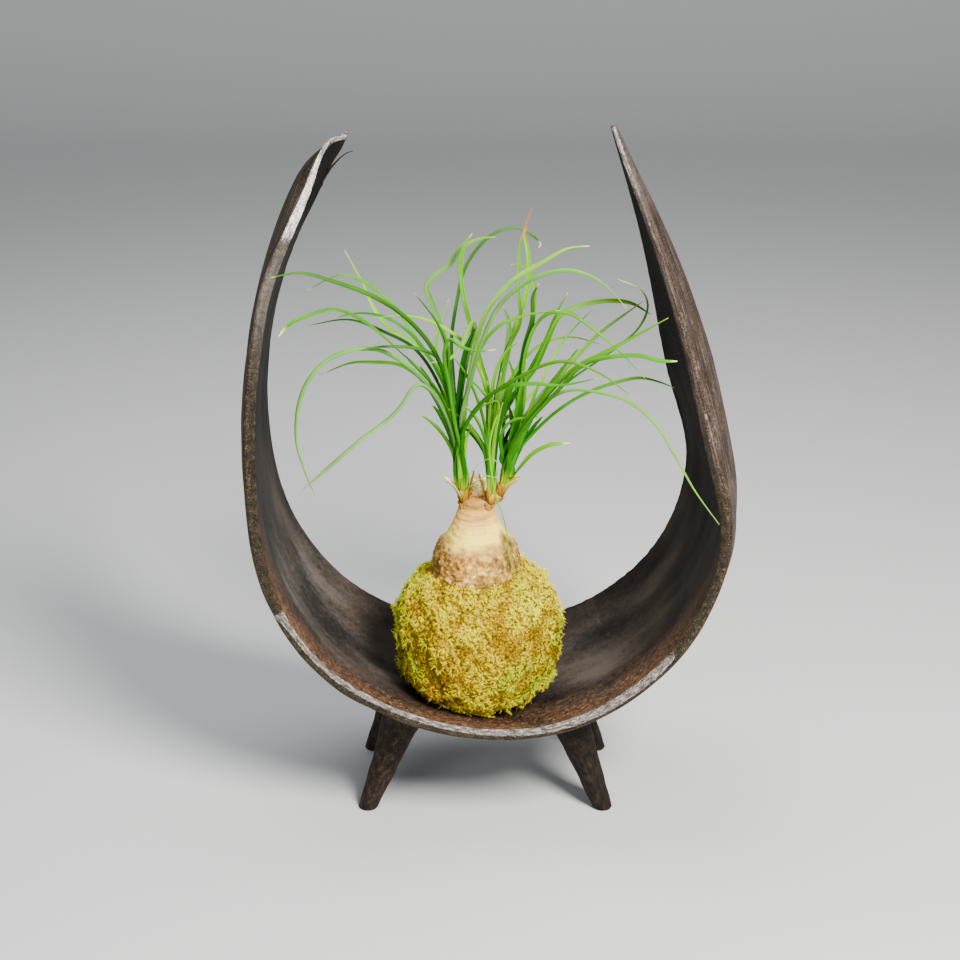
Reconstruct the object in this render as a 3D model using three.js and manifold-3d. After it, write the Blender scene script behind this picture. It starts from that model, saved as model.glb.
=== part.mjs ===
// Young ponytail palm rooted in a moss ball, which rests in a curved stoneware
// stand. Millimetres, +Z up, +X to the right of the open front, +Y to the back.
// Origin: under the middle of the whole part, level with the feet.
import * as THREE from 'three';
import { mergeVertices } from 'three/addons/utils/BufferGeometryUtils.js';
import Module from 'manifold-3d';

const wasm = await Module();
wasm.setup();

const gap = 0.3; // air between pieces that touch

// ---------- driving dimensions ----------

// The slab: one band of clay bent up on both sides, wide below and pointed above
const slab = {
  thick: 6,
  tipThick: 2.6,
  ripple: 0.7,
  roundedTo: 0.038, // share of the length over which the left tip's front corner is rounded off
  tipWidth: 0.25, // what is left there of the slab's width
  steps: 48,
  acrossSteps: 6,
};

// Stations along the slab, left tip to right tip: x, y and z of its middle line,
// half its depth, how far its edges curl in, and its twist in degrees
const slabStations = [
  [-71.6, 0, 372.7, 5, -2.6, 43.7],
  [-93.3, 2.2, 352, 13.6, 8.5, 10.2],
  [-113.7, 0.9, 296.3, 45, 3.5, 1.2],
  [-126, 0, 222, 60, 4, -3],
  [-119, 0, 148, 65, 4, -3],
  [-90, 0, 92, 66, 9, -3],
  [-40, 0, 58, 65, 14, -2],
  [18, 0, 50, 65, 15, -1],
  [72, 0, 71, 65, 13, 0],
  [112, 0, 115, 65, 10, 0],
  [130, 0, 174, 64, 10, 2],
  [120, 0, 239, 58, 14, 4],
  [98, 0, 307, 39, 10, 4],
  [64, 0, 378, 3, 1, 3],
];

const foot = {
  spread: 66,
  depth: 32,
  topSpread: 41,
  topDepth: 22,
  topZ: 66,
  rows: [[0, 5.2], [0.55, 8], [0.8, 11], [1, 13]], // share of the height, radius
  sides: 14,
};

// The ball is a little square-shouldered: power 2 would make it a plain ellipsoid
const ball = { x: -3, z: 95, radius: 45.5, halfHeight: 43, power: 2.5, skin: 6, relief: 1.1 };

// The swollen stem: radius and height up its axis, from the hidden base to the neck
const stem = {
  x: -5.2,
  around: 24,
  profile: [[0, 106], [9, 107], [17, 112], [22, 120], [24.2, 130], [24, 138], [22.5, 144], [20.6, 149],
    [17, 153.5], [13.6, 160], [11.2, 166], [9.4, 171], [9, 174.5], [7.6, 176.5], [0, 177]],
  lump: 0.025,
};
const stub = { x: -3.6, y: 3.6, radius: 4.7, bottom: 168, top: 187.5 };

// Each shoot: where it stands, the way it leans, and where its boss leaves the neck
const shoots = {
  left: { base: [-11.6, -3.6, 175], lean: [-0.08, -0.04, 1], heart: [-7.5, -1.5, 163] },
  middle: { base: [2.6, -6.4, 176], lean: [0.02, -0.05, 1], heart: [-2, -3, 164] },
  right: { base: [7.6, 1.6, 177], lean: [0.32, 0, 1], heart: [-1, 1, 166] },
};
const shoot = {
  coreRadius: 3,
  topRadius: 3.6,
  coreHeight: 15,
  pegRadius: 2.6,
  pegDepth: 3,
  bossRadius: 4.8,
  sides: 12,
};
const sheath = { wall: 1.1, flare: 0.3, height: 7 };
const leafKeel = 0.36; // keel depth as a share of the blade's width
const goldenAngle = 137.5;

// Leaves: width, how far the tip lies behind the shoot (minus: in front), then
// points x, z that the blade passes through from shoot to tip
const leaves = {
  left: [
    [3.2, -32, [[-17, 212], [-22, 232], [-32, 247], [-44, 260], [-57, 267], [-70, 267], [-82, 262],
      [-92, 251], [-97, 237], [-98, 221], [-95, 208], [-89, 192]]],
    [2.8, -48, [[-18, 219], [-23, 235], [-29, 246], [-34, 250], [-38, 248],
      [-43, 241], [-49, 235], [-64, 225], [-94, 202]]],
    [2.4, 38, [[-18, 210], [-26, 227], [-35, 239], [-46, 245], [-60, 245], [-73, 243], [-90, 234]]],
    [2.6, -38, [[-17, 219], [-24, 241], [-35, 257], [-49, 273], [-62, 286],
      [-76, 293], [-88, 291], [-98, 287], [-104, 281]]],
    [3.2, -58, [[-16, 220], [-20, 249], [-27, 271], [-40, 290], [-55, 303],
      [-74, 313], [-90, 319], [-104, 318]]],
    [2.4, 26, [[-16, 217], [-24, 244], [-35, 260], [-45, 276], [-56, 287],
      [-66, 293], [-77, 295], [-96, 285]]],
    [2.4, 52, [[-17, 215], [-26, 243], [-39, 256], [-52, 262], [-60, 271], [-67, 285], [-76, 300]]],
    [2.2, 12, [[-16, 221], [-26, 248], [-37, 265], [-50, 275], [-65, 278], [-80, 275]]],
    [2.2, 60, [[-17, 213], [-25, 234], [-38, 251], [-55, 258], [-74, 262], [-98, 255]]],
    [2.2, -20, [[-16, 221], [-20, 242], [-26, 262], [-35, 267], [-47, 269], [-57, 269], [-67, 267]]],
    [3.4, 18, [[-16, 215], [-18, 237], [-20, 257], [-23, 269], [-28, 283], [-31, 292],
      [-27, 297], [-20, 302], [-14, 310], [-7, 319]]],
    [2.4, 35, [[-15, 214], [-17, 241], [-18, 262], [-15, 282], [-11, 298], [-3, 310],
      [7, 317], [17, 318], [24, 314], [29, 309], [28, 306]]],
    [4.2, -14, [[-15, 218], [-13, 245], [-10, 265], [-5, 280]]],
    [2.2, 62, [[-17, 212], [-22, 230], [-27, 246], [-25, 259], [-20, 270]]],
    [2.2, -30, [[-16, 226], [-19, 250], [-20, 271], [-25, 285], [-36, 302]]],
    [3, -34, [[-13, 219], [-9, 246], [-5, 270], [1, 290], [13, 306], [29, 318], [40, 325], [51, 327]]],
    [2.6, -50, [[-13, 223], [-8, 249], [-2, 274], [7, 295], [22, 310],
      [36, 316], [46, 316], [56, 312], [69, 300]]],
    [2.8, -40, [[-13, 214], [-8, 229], [-1, 240], [9, 249], [23, 253], [38, 254], [56, 260]]],
    [2.2, -54, [[-12, 218], [-6, 233], [5, 247], [18, 258], [30, 266],
      [39, 269], [48, 268], [59, 264], [73, 255]]],
    [2.2, -22, [[-14, 221], [-9, 245], [-2, 268], [7, 280], [22, 287], [38, 290]]],
    [2.4, -34, [[-13, 214], [-7, 227], [-1, 234], [6, 237], [7, 233], [4, 224], [2, 213],
      [3, 201], [5, 189], [10, 174], [13, 154], [20, 132]]],
    [2.2, -45, [[-16, 225], [-19, 251], [-21, 271], [-18, 279], [-12, 276], [-4, 275], [5, 277]]],
  ],
  middle: [
    [3.2, 20, [[3, 216], [7, 240], [12, 262], [18, 277], [22, 293], [22, 309], [20, 321], [24, 333]]],
    [2.2, 8, [[4, 217], [8, 245], [12, 262], [18, 276], [17, 293], [17, 309], [18, 319], [21, 326]]],
    [4.2, 8, [[3, 219], [8, 236], [9, 247], [12, 263], [12, 275], [9, 284]]],
    [2.8, 14, [[2, 217], [2, 236], [-3, 255], [-8, 273], [-12, 291],
      [-13, 306], [-11, 314], [-4, 318], [5, 319]]],
    [2.2, -4, [[1, 218], [0, 241], [-6, 259], [-12, 268], [-21, 275], [-31, 280], [-43, 282], [-59, 281]]],
    [2.4, 48, [[4, 216], [13, 236], [22, 255], [26, 275], [26, 285], [23, 292], [18, 295], [13, 294]]],
    [2.6, 34, [[5, 214], [14, 229], [24, 245], [32, 259], [38, 273], [44, 283]]],
    [2.4, 56, [[6, 213], [16, 221], [28, 231], [36, 243], [44, 254], [58, 266]]],
    [3.4, 30, [[5, 218], [15, 234], [26, 247], [33, 262], [39, 274],
      [49, 279], [63, 281], [77, 279], [88, 272]]],
    [2.2, 66, [[5, 217], [12, 233], [23, 246], [32, 251], [47, 251], [64, 243]]],
    [2.2, -4, [[2, 218], [1, 236], [-3, 242], [-11, 250]]],
    [2.2, -10, [[2, 219], [3, 239], [6, 255], [11, 265], [18, 271]]],
  ],
  right: [
    [3.6, -20, [[9, 198], [14, 211], [18, 227], [18, 243], [20, 264], [24, 282], [24, 295], [27, 302]]],
    [4, 16, [[14, 205], [21, 219], [29, 230], [38, 241], [48, 252], [61, 265], [83, 281]]],
    [3.2, -58, [[14, 207], [22, 226], [33, 245], [45, 261], [60, 273], [74, 284], [89, 296]]],
    [2.4, 40, [[14, 204], [24, 218], [40, 234], [60, 244], [81, 253]]],
    [2.8, -62, [[14, 206], [23, 226], [36, 246], [50, 266], [62, 272], [76, 275], [86, 274], [94, 275]]],
    [2.6, -34, [[13, 207], [16, 226], [19, 247], [21, 265], [26, 280], [33, 287],
      [43, 287], [53, 281], [67, 270], [81, 256]]],
    [2.2, -10, [[15, 200], [24, 212], [37, 226], [52, 237], [68, 244], [81, 247], [91, 245], [99, 242]]],
    [2.4, -69, [[15, 204], [22, 223], [32, 239], [43, 247], [58, 248], [73, 245],
      [86, 236], [96, 221], [106, 205], [118, 190]]],
    [2.4, -8, [[14, 187], [19, 194], [25, 202], [34, 208], [45, 210]]],
    [2.2, -16, [[8, 211], [11, 221], [18, 226], [27, 226]]],
    [2.2, -16, [[14, 206], [26, 226], [44, 245], [65, 262], [79, 276], [83, 288], [79, 297], [67, 303]]],
    [2.2, 20, [[11, 206], [16, 213], [23, 216], [30, 214]]],
    [2.2, 30, [[9, 203], [11, 220], [14, 232], [18, 237], [12, 239]]],
  ],
};

// Dry husks on each sheath: angle round the shoot, height, width, outward lean
const husks = {
  left: [[200, 13, 3.4, 3.4], [300, 8, 4, 1.6], [20, 9, 3.4, 1.4]],
  middle: [[215, 11, 3.2, 2.2], [330, 7, 3.6, 1.2], [90, 8, 3.6, 1.2]],
  right: [[280, 8, 4.2, 2], [10, 10, 4, 2.6], [120, 7, 3.6, 1.2]],
};

const finishes = {
  stoneware: { color: 0x3a322c, roughness: 0.62, metalness: 0 },
  moss: { color: 0xa89a24, roughness: 0.95, metalness: 0 },
  soil: { color: 0x35271c, roughness: 0.95, metalness: 0 },
  bark: { color: 0xb59a76, roughness: 0.8, metalness: 0 },
  leaf: { color: 0x4c8a26, roughness: 0.45, metalness: 0 },
  husk: { color: 0xa8743a, roughness: 0.85, metalness: 0 },
};

// ---------- mesh and solid helpers ----------

// A closed body through a row of loops with the same number of points each
function loft(loops) {
  const count = loops[0].length;
  const positions = loops.flat().flatMap((p) => [p.x, p.y, p.z]);
  const index = [];
  for (let i = 0; i + 1 < loops.length; i++) {
    for (let k = 0; k < count; k++) {
      const a = i * count + k;
      const b = i * count + ((k + 1) % count);
      index.push(a, b, b + count, a, b + count, a + count);
    }
  }
  const last = (loops.length - 1) * count;
  for (let i = 0, j = count - 1; i + 1 < j; i++, j--) {
    index.push(i, j, i + 1, last + i, last + i + 1, last + j);
    if (i + 1 < j - 1) index.push(i + 1, j, j - 1, last + i + 1, last + j - 1, last + j);
  }
  const geometry = new THREE.BufferGeometry();
  geometry.setAttribute('position', new THREE.Float32BufferAttribute(positions, 3));
  geometry.setIndex(index);
  return geometry;
}

function signedVolume(positions, index) {
  const [a, b, c] = [new THREE.Vector3(), new THREE.Vector3(), new THREE.Vector3()];
  let volume = 0;
  for (let i = 0; i < index.length; i += 3) {
    a.fromArray(positions, index[i] * 3);
    b.fromArray(positions, index[i + 1] * 3);
    c.fromArray(positions, index[i + 2] * 3);
    volume += a.dot(b.cross(c)) / 6;
  }
  return volume;
}

function toSolid(geometry) {
  const bare = geometry.clone();
  for (const name of ['normal', 'uv']) bare.deleteAttribute(name);
  const merged = mergeVertices(bare, 1e-5);
  const triVerts = Uint32Array.from(merged.index.array);
  const vertProperties = Float32Array.from(merged.attributes.position.array);
  if (signedVolume(vertProperties, triVerts) < 0) triVerts.reverse();
  return new wasm.Manifold(new wasm.Mesh({ numProp: 3, vertProperties, triVerts }));
}

function toGeometry(solid) {
  const { vertProperties, triVerts } = solid.getMesh();
  const geometry = new THREE.BufferGeometry();
  geometry.setAttribute('position', new THREE.Float32BufferAttribute(vertProperties, 3));
  geometry.setIndex(Array.from(triVerts));
  geometry.computeVertexNormals();
  return geometry;
}

const join = (solids) => solids.reduce((sum, next) => sum.add(next));

// The body itself, without the small hollows that crossing blades seal in
const outerBody = (solid) => solid.decompose().sort((a, b) => b.volume() - a.volume())[0];

// Crossing faces leave slivers: short edges are closed up, and flat corners are
// turned into the triangle next to them. Nothing moves by more than the limit.
function withoutSlivers(solid, limit = 0.02) {
  const { vertProperties, triVerts } = solid.getMesh();
  const point = (v) => new THREE.Vector3().fromArray(vertProperties, 3 * v);
  const corners = (i) => [...triVerts.subarray(3 * i, 3 * i + 3)];
  let faces = Array.from({ length: triVerts.length / 3 }, (_, i) => corners(i));
  const normal = ([a, b, c]) => point(b).sub(point(a)).cross(point(c).sub(point(a)));
  const sides = ([a, b, c]) => [[a, b, c], [b, c, a], [c, a, b]]
    .map(([from, to, apex]) => ({ from, to, apex, length: point(from).distanceTo(point(to)) }))
    .sort((p, q) => p.length - q.length);
  const height = (face) => normal(face).length() / sides(face)[2].length;
  const around = (v) => faces.filter((face) => face.includes(v));
  const ringOf = (v) => new Set(around(v).flat().filter((w) => w !== v));

  function closeUp({ from, to }) {
    const shared = [...ringOf(from)].filter((v) => ringOf(to).has(v));
    if (shared.length !== 2) return false;
    const moved = around(to).filter((face) => !face.includes(from));
    const turned = moved.map((face) => face.map((v) => (v === to ? from : v)));
    const folds = (face, i) => height(moved[i]) > limit / 4 && normal(face).dot(normal(moved[i])) <= 0;
    if (turned.some(folds)) return false;
    faces = faces.filter((face) => !face.includes(to)).concat(turned);
    return true;
  }

  function turnEdge(face, { from, to, apex }) {
    const other = faces.find((next) => next !== face && next.includes(from) && next.includes(to));
    const far = other.find((v) => v !== from && v !== to);
    const pair = [[from, far, apex], [far, to, apex]];
    if (ringOf(apex).has(far) || Math.min(...pair.map(height)) <= height(face)) return false;
    faces = faces.filter((next) => next !== face && next !== other).concat(pair);
    return true;
  }

  const mend = (face) => {
    const [shortest, , longest] = sides(face);
    if (shortest.length < limit && closeUp(shortest)) return true;
    return height(face) < limit / 4 && turnEdge(face, longest);
  };
  while (faces.some((face) => (sides(face)[0].length < limit || height(face) < limit / 4) && mend(face)));
  return new wasm.Manifold(new wasm.Mesh({
    numProp: 3, vertProperties, triVerts: Uint32Array.from(faces.flat()),
  }));
}

function ring(centre, sideA, sideB, radius, sides) {
  return Array.from({ length: sides }, (_, k) => {
    const turn = (k / sides) * 2 * Math.PI;
    return centre.clone().addScaledVector(sideA, radius * Math.cos(turn))
      .addScaledVector(sideB, radius * Math.sin(turn));
  });
}

// A round bar from one point to another, its radius given at each end
function taper(from, to, radiusFrom, radiusTo, sides) {
  const way = to.clone().sub(from).normalize();
  const sideA = new THREE.Vector3(1, 0, 0).addScaledVector(way, -way.x).normalize();
  const sideB = way.clone().cross(sideA);
  const ends = [[from, radiusFrom], [to, radiusTo]];
  return toSolid(loft(ends.map(([centre, radius]) => ring(centre, sideA, sideB, radius, sides))));
}

// ---------- stand ----------

const throughStations = (pick) => new THREE.CatmullRomCurve3(
  slabStations.map((row) => new THREE.Vector3(...pick(row))), false, 'catmullrom', 0.5,
);
const slabLine = throughStations(([x, y, z]) => [x, y, z]);
const slabForm = throughStations(([, , , halfDepth, curl, twist]) => [halfDepth, curl, twist]);

// The share of the width that the rounded corner leaves, kept at the back edge
function slabWidth(t) {
  const past = Math.max(0, 1 - t / slab.roundedTo);
  return THREE.MathUtils.lerp(slab.tipWidth, 1, Math.sqrt(1 - past * past));
}

// t runs from tip to tip, side from the front edge (-1) to the back one (1), offset is inward
function slabPoint(t, side, offset) {
  const v = 1 - (1 - side) * slabWidth(t);
  const middle = slabLine.getPoint(t);
  const tangent = slabLine.getTangent(t);
  const flat = Math.hypot(tangent.x, tangent.z);
  const inward = new THREE.Vector3(-tangent.z / flat, 0, tangent.x / flat);
  const { x: halfDepth, y: curl, z: twistDegrees } = slabForm.getPoint(t);
  const twist = THREE.MathUtils.degToRad(twistDegrees);
  const depth = halfDepth + slab.ripple * Math.sin(41 * t) * Math.sin(17 * t + 1);
  const across = v * depth;
  const slope = (2 * curl * v) / depth;
  const lift = (curl * v * v + across * Math.sin(twist)) + offset / Math.hypot(1, slope);
  const sideways = across * Math.cos(twist) - (offset * slope) / Math.hypot(1, slope);
  return middle.addScaledVector(inward, lift).add(new THREE.Vector3(0, sideways, 0));
}

// Half the thickness, less towards the tips
function slabHalf(t) {
  const fromTip = THREE.MathUtils.smoothstep(Math.min(t, 1 - t), 0, 0.16);
  return THREE.MathUtils.lerp(slab.tipThick, slab.thick, fromTip) / 2;
}

// The band between two offsets, over all of the slab or some of its steps
function slabSolid(outerAt, innerAt, first = 0, last = slab.steps) {
  const loops = [];
  for (let i = first; i <= last; i++) {
    const t = i / slab.steps;
    const row = (offset) => Array.from({ length: slab.acrossSteps + 1 },
      (_, j) => slabPoint(t, (2 * j) / slab.acrossSteps - 1, offset));
    loops.push([...row(innerAt(t)), ...row(outerAt(t)).reverse()]);
  }
  return toSolid(loft(loops));
}

function footSolid(right, back) {
  const level = [new THREE.Vector3(1, 0, 0), new THREE.Vector3(0, 1, 0)];
  return toSolid(loft(foot.rows.map(([rise, radius]) => {
    const x = right * THREE.MathUtils.lerp(foot.spread, foot.topSpread, rise);
    const y = back * THREE.MathUtils.lerp(foot.depth, foot.topDepth, rise);
    return ring(new THREE.Vector3(x, y, rise * foot.topZ), ...level, radius, foot.sides);
  })));
}

function standSolid() {
  const feet = join([footSolid(-1, -1), footSolid(1, -1), footSolid(-1, 1), footSolid(1, 1)]);
  const above = slabSolid(() => 0, () => 40, slab.steps * 0.25, slab.steps * 0.75);
  return slabSolid((t) => -slabHalf(t), slabHalf).add(feet.subtract(above));
}

// ---------- moss ball, soil and swollen stem ----------

// Low cushions of moss all over the ball
function mossRelief(turn, tilt) {
  const cushions = Math.sin(9 * turn + 2 * Math.sin(3 * tilt)) * Math.sin(11 * tilt + Math.sin(2 * turn));
  const tufts = 0.6 * Math.sin(14 * turn + 6 * tilt) * Math.sin(13 * tilt - 5 * turn);
  return ball.relief * (cushions + tufts) * Math.sin(tilt);
}

function ballSolid(inset, relief, rings, around) {
  const squared = (value) => Math.sign(value) * Math.abs(value) ** (2 / ball.power);
  const loops = [];
  for (let i = 0; i < rings; i++) {
    const tilt = Math.PI * (i + 0.5) / rings;
    loops.push(Array.from({ length: around }, (_, k) => {
      const turn = (k / around) * 2 * Math.PI;
      const bump = relief ? mossRelief(turn, tilt) : 0;
      const radius = (ball.radius - inset + bump) * squared(Math.sin(tilt));
      const height = (ball.halfHeight - inset + bump) * squared(Math.cos(tilt));
      return new THREE.Vector3(ball.x + radius * Math.cos(turn), radius * Math.sin(turn), ball.z + height);
    }));
  }
  return toSolid(loft(loops));
}

function stemBody(grow) {
  const loops = stem.profile.slice(1, -1).map(([radius, z]) => Array.from({ length: stem.around }, (_, k) => {
    const turn = (k / stem.around) * 2 * Math.PI;
    const lumps = Math.sin(3 * turn + z * 0.09) + 0.6 * Math.sin(5 * turn - z * 0.13);
    const r = radius * (1 + stem.lump * lumps) + grow;
    return new THREE.Vector3(stem.x + r * Math.cos(turn), r * Math.sin(turn), z + (z < 110 ? -grow : 0));
  }));
  return toSolid(loft(loops));
}

const vector = (list) => new THREE.Vector3(...list);
const lean = (name) => vector(shoots[name].lean).normalize();

// The place that a shoot takes in the neck: a hole for its peg and a flat seat above
function shootSeat(name) {
  const base = vector(shoots[name].base);
  const along = (height) => base.clone().addScaledVector(lean(name), height);
  const hole = shoot.pegRadius + gap;
  const seat = shoot.coreRadius + sheath.wall + sheath.flare + 2 * gap;
  return taper(along(-shoot.pegDepth - gap), along(1), hole, hole, shoot.sides)
    .add(taper(base, along(shoot.coreHeight), seat, seat, shoot.sides));
}

function caudexSolid() {
  const names = Object.keys(shoots);
  const bosses = names.map((name) => {
    const top = vector(shoots[name].base).addScaledVector(lean(name), 2);
    return taper(vector(shoots[name].heart), top, shoot.bossRadius + 0.6, shoot.bossRadius, shoot.sides);
  });
  const [stubFoot, stubTop] = [stub.bottom, stub.top].map((z) => new THREE.Vector3(stub.x, stub.y, z));
  const cutStub = taper(stubFoot, stubTop, stub.radius + 0.8, stub.radius, shoot.sides);
  return join([stemBody(0), ...bosses]).subtract(join(names.map(shootSeat))).add(cutStub);
}

// ---------- shoots, leaves and husks ----------

// One strap leaf: flat above with a keel below, widest a third of the way up
function blade(points, width) {
  const curve = new THREE.CatmullRomCurve3(points);
  const steps = Math.round(1.6 * points.length);
  const heading = points.at(-1).clone().sub(points[0]).setZ(0).normalize();
  const side = new THREE.Vector3(-heading.y, heading.x, 0);
  const loops = [];
  for (let i = 0; i <= steps; i++) {
    const t = i / steps;
    const way = curve.getTangent(t);
    side.addScaledVector(way, -side.dot(way)).normalize();
    const under = way.clone().cross(side);
    const half = (width / 2) * Math.min(1, 0.72 + t) * Math.min(1, 0.16 + 1.5 * (1 - t) ** 0.8);
    const keel = Math.max(0.6, 2 * half * leafKeel);
    const middle = curve.getPoint(t);
    loops.push([
      middle.clone().addScaledVector(side, half),
      middle.clone().addScaledVector(under, keel),
      middle.clone().addScaledVector(side, -half),
    ]);
  }
  return toSolid(loft(loops));
}

// The path of a leaf: out of its shoot's heart, then through its own points
function leafPath(name, order, reach, stops) {
  const base = vector(shoots[name].base);
  const turn = THREE.MathUtils.degToRad(goldenAngle * order);
  const ringPoint = (height, radius) => base.clone().addScaledVector(lean(name), height)
    .add(new THREE.Vector3(radius * Math.cos(turn), radius * Math.sin(turn), 0));
  const points = [ringPoint(5, 1.2), ringPoint(shoot.coreHeight, 2)];
  const lengths = [0];
  let before = points[1];
  for (const [x, z] of stops) {
    lengths.push(lengths.at(-1) + Math.hypot(x - before.x, z - before.z));
    before = { x, z };
  }
  stops.forEach(([x, z], i) => {
    const share = lengths[i + 1] / lengths.at(-1);
    points.push(new THREE.Vector3(x, base.y + reach * share, z));
  });
  return points;
}

function tuftSolid(name) {
  const base = vector(shoots[name].base);
  const along = (height) => base.clone().addScaledVector(lean(name), height);
  const peg = taper(along(-shoot.pegDepth), along(2), shoot.pegRadius, shoot.pegRadius, shoot.sides);
  const core = taper(along(gap), along(shoot.coreHeight), shoot.coreRadius, shoot.topRadius, shoot.sides);
  const blades = leaves[name].map(([width, reach, stops], order) => (
    blade(leafPath(name, order, reach, stops), width)
  ));
  return join([peg, core, ...blades]);
}

// A pointed scale of a sheath: how far up, how far out and how wide it is, row by row
const huskRows = [[0.1, 0, 1], [0.4, 0.15, 1], [0.8, 0.75, 0.8], [1, 1, 0.15]];

function huskSolid(base, name, [angle, height, width, out]) {
  const turn = THREE.MathUtils.degToRad(angle);
  const away = new THREE.Vector3(Math.cos(turn), Math.sin(turn), 0);
  away.addScaledVector(lean(name), -away.dot(lean(name))).normalize();
  const across = lean(name).cross(away);
  const thick = 1;
  return toSolid(loft(huskRows.map(([rise, drift, size]) => {
    const centre = base.clone().addScaledVector(lean(name), rise * height)
      .addScaledVector(away, shoot.coreRadius + gap + sheath.wall / 2 + out * drift);
    const half = (width / 2) * size;
    return [
      centre.clone().addScaledVector(across, half),
      centre.clone().addScaledVector(away, thick / 2),
      centre.clone().addScaledVector(across, -half),
      centre.clone().addScaledVector(away, -thick / 4),
    ];
  })));
}

function sheathSolid(name) {
  const base = vector(shoots[name].base).addScaledVector(lean(name), gap);
  const along = (height) => base.clone().addScaledVector(lean(name), height);
  const inner = shoot.coreRadius + gap;
  const outer = inner + sheath.wall;
  const wall = taper(base, along(sheath.height), outer, outer + sheath.flare, shoot.sides);
  const bore = taper(along(-2), along(shoot.coreHeight + 6), inner, inner + 1.3, shoot.sides);
  return join([wall, ...husks[name].map((husk) => huskSolid(base, name, husk))]).subtract(bore);
}

// ---------- assembly ----------

const group = new THREE.Group();

function place(name, solid, finish) {
  const body = withoutSlivers(outerBody(solid));
  const mesh = new THREE.Mesh(toGeometry(body), new THREE.MeshStandardMaterial(finishes[finish]));
  mesh.name = name;
  group.add(mesh);
}

const socket = stemBody(1.5 * gap);
const underBall = slabSolid(() => -30, (t) => slabHalf(t) + gap, slab.steps / 3, (slab.steps * 5) / 8);
place('crescent_stand', standSolid(), 'stoneware');
place('moss_wrap', ballSolid(0, true, 20, 42).subtract(ballSolid(ball.skin, false, 12, 24))
  .subtract(socket).subtract(underBall), 'moss');
place('soil_ball', ballSolid(ball.skin + gap, false, 12, 24).subtract(socket), 'soil');
place('caudex', caudexSolid(), 'bark');
for (const name of Object.keys(shoots)) {
  place(`leaf_tuft_${name}`, tuftSolid(name), 'leaf');
  place(`dry_sheath_${name}`, sheathSolid(name), 'husk');
}

const box = new THREE.Box3().setFromObject(group);
const centre = box.getCenter(new THREE.Vector3());
group.position.set(-centre.x, -centre.y, -box.min.z);

export default group;
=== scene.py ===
import math

import bpy
import numpy as np
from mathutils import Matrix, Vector
from mathutils.bvhtree import BVHTree


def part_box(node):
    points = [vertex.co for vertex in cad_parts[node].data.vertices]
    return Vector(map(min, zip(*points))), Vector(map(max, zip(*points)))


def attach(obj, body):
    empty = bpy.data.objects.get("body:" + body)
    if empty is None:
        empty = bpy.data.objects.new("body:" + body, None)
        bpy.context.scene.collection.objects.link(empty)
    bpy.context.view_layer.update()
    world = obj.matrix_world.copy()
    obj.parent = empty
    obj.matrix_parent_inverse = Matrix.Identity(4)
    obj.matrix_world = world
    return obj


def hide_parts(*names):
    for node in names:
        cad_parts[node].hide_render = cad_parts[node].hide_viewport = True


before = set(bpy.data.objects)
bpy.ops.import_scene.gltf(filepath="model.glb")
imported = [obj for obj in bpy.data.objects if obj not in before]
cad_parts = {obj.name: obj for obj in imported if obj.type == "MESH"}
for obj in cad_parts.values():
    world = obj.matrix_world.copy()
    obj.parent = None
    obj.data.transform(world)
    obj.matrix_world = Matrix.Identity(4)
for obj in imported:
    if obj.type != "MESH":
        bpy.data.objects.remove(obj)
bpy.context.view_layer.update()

# Lengths are in mm from a point between the feet. The shared frame's origin lies
# a little to one side of it, and the root ball's box gives by how much.
mm = 0.001
ball = {"x": -3, "z": 95, "radius": 45.5, "halfHeight": 43, "power": 2.5, "relief": 1.1}
rootLow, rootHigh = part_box("soil_ball")
shift = np.array([(rootLow.x + rootHigh.x) / 2 / mm - ball["x"], (rootLow.y + rootHigh.y) / 2 / mm, 0])


# helpers for meshes

def addObject(name, data):
    made = bpy.data.objects.new(name, data)
    bpy.context.scene.collection.objects.link(made)
    return made


def addMesh(name, points, faces, material):
    mesh = bpy.data.meshes.new(name)
    mesh.from_pydata((np.asarray(points, float) * mm).tolist(), [], faces)
    mesh.polygons.foreach_set("use_smooth", [True] * len(mesh.polygons))
    mesh.update()
    mesh.materials.append(material)
    return addObject(name, mesh)


def addPiece(name, points, faces, material, replaces, slot, **marks):
    # marks are values at the points that the material reads
    piece = addMesh(name, points + shift, faces, material)
    for key, values in marks.items():
        values = np.asarray(values, np.float32)
        kind, field = ("FLOAT", "value") if values.ndim == 1 else ("FLOAT_VECTOR", "vector")
        piece.data.attributes.new(key, kind, "POINT").data.foreach_set(field, values.ravel())
    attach(piece, "root")
    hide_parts(*replaces)
    return piece


def loopFaces(rows, count):
    # the skin over rows of closed loops, shut at both ends
    faces = []
    for a in range(0, (rows - 1) * count, count):
        b = a + count
        faces += [(a + k, a + (k + 1) % count, b + (k + 1) % count, b + k) for k in range(count)]
    last = (rows - 1) * count
    return faces + [tuple(range(count))[::-1], tuple(range(last, last + count))]


def skin(grid):
    # the points of such rows in one list, and their faces
    return grid.reshape(-1, 3), loopFaces(*grid.shape[:2])


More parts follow.
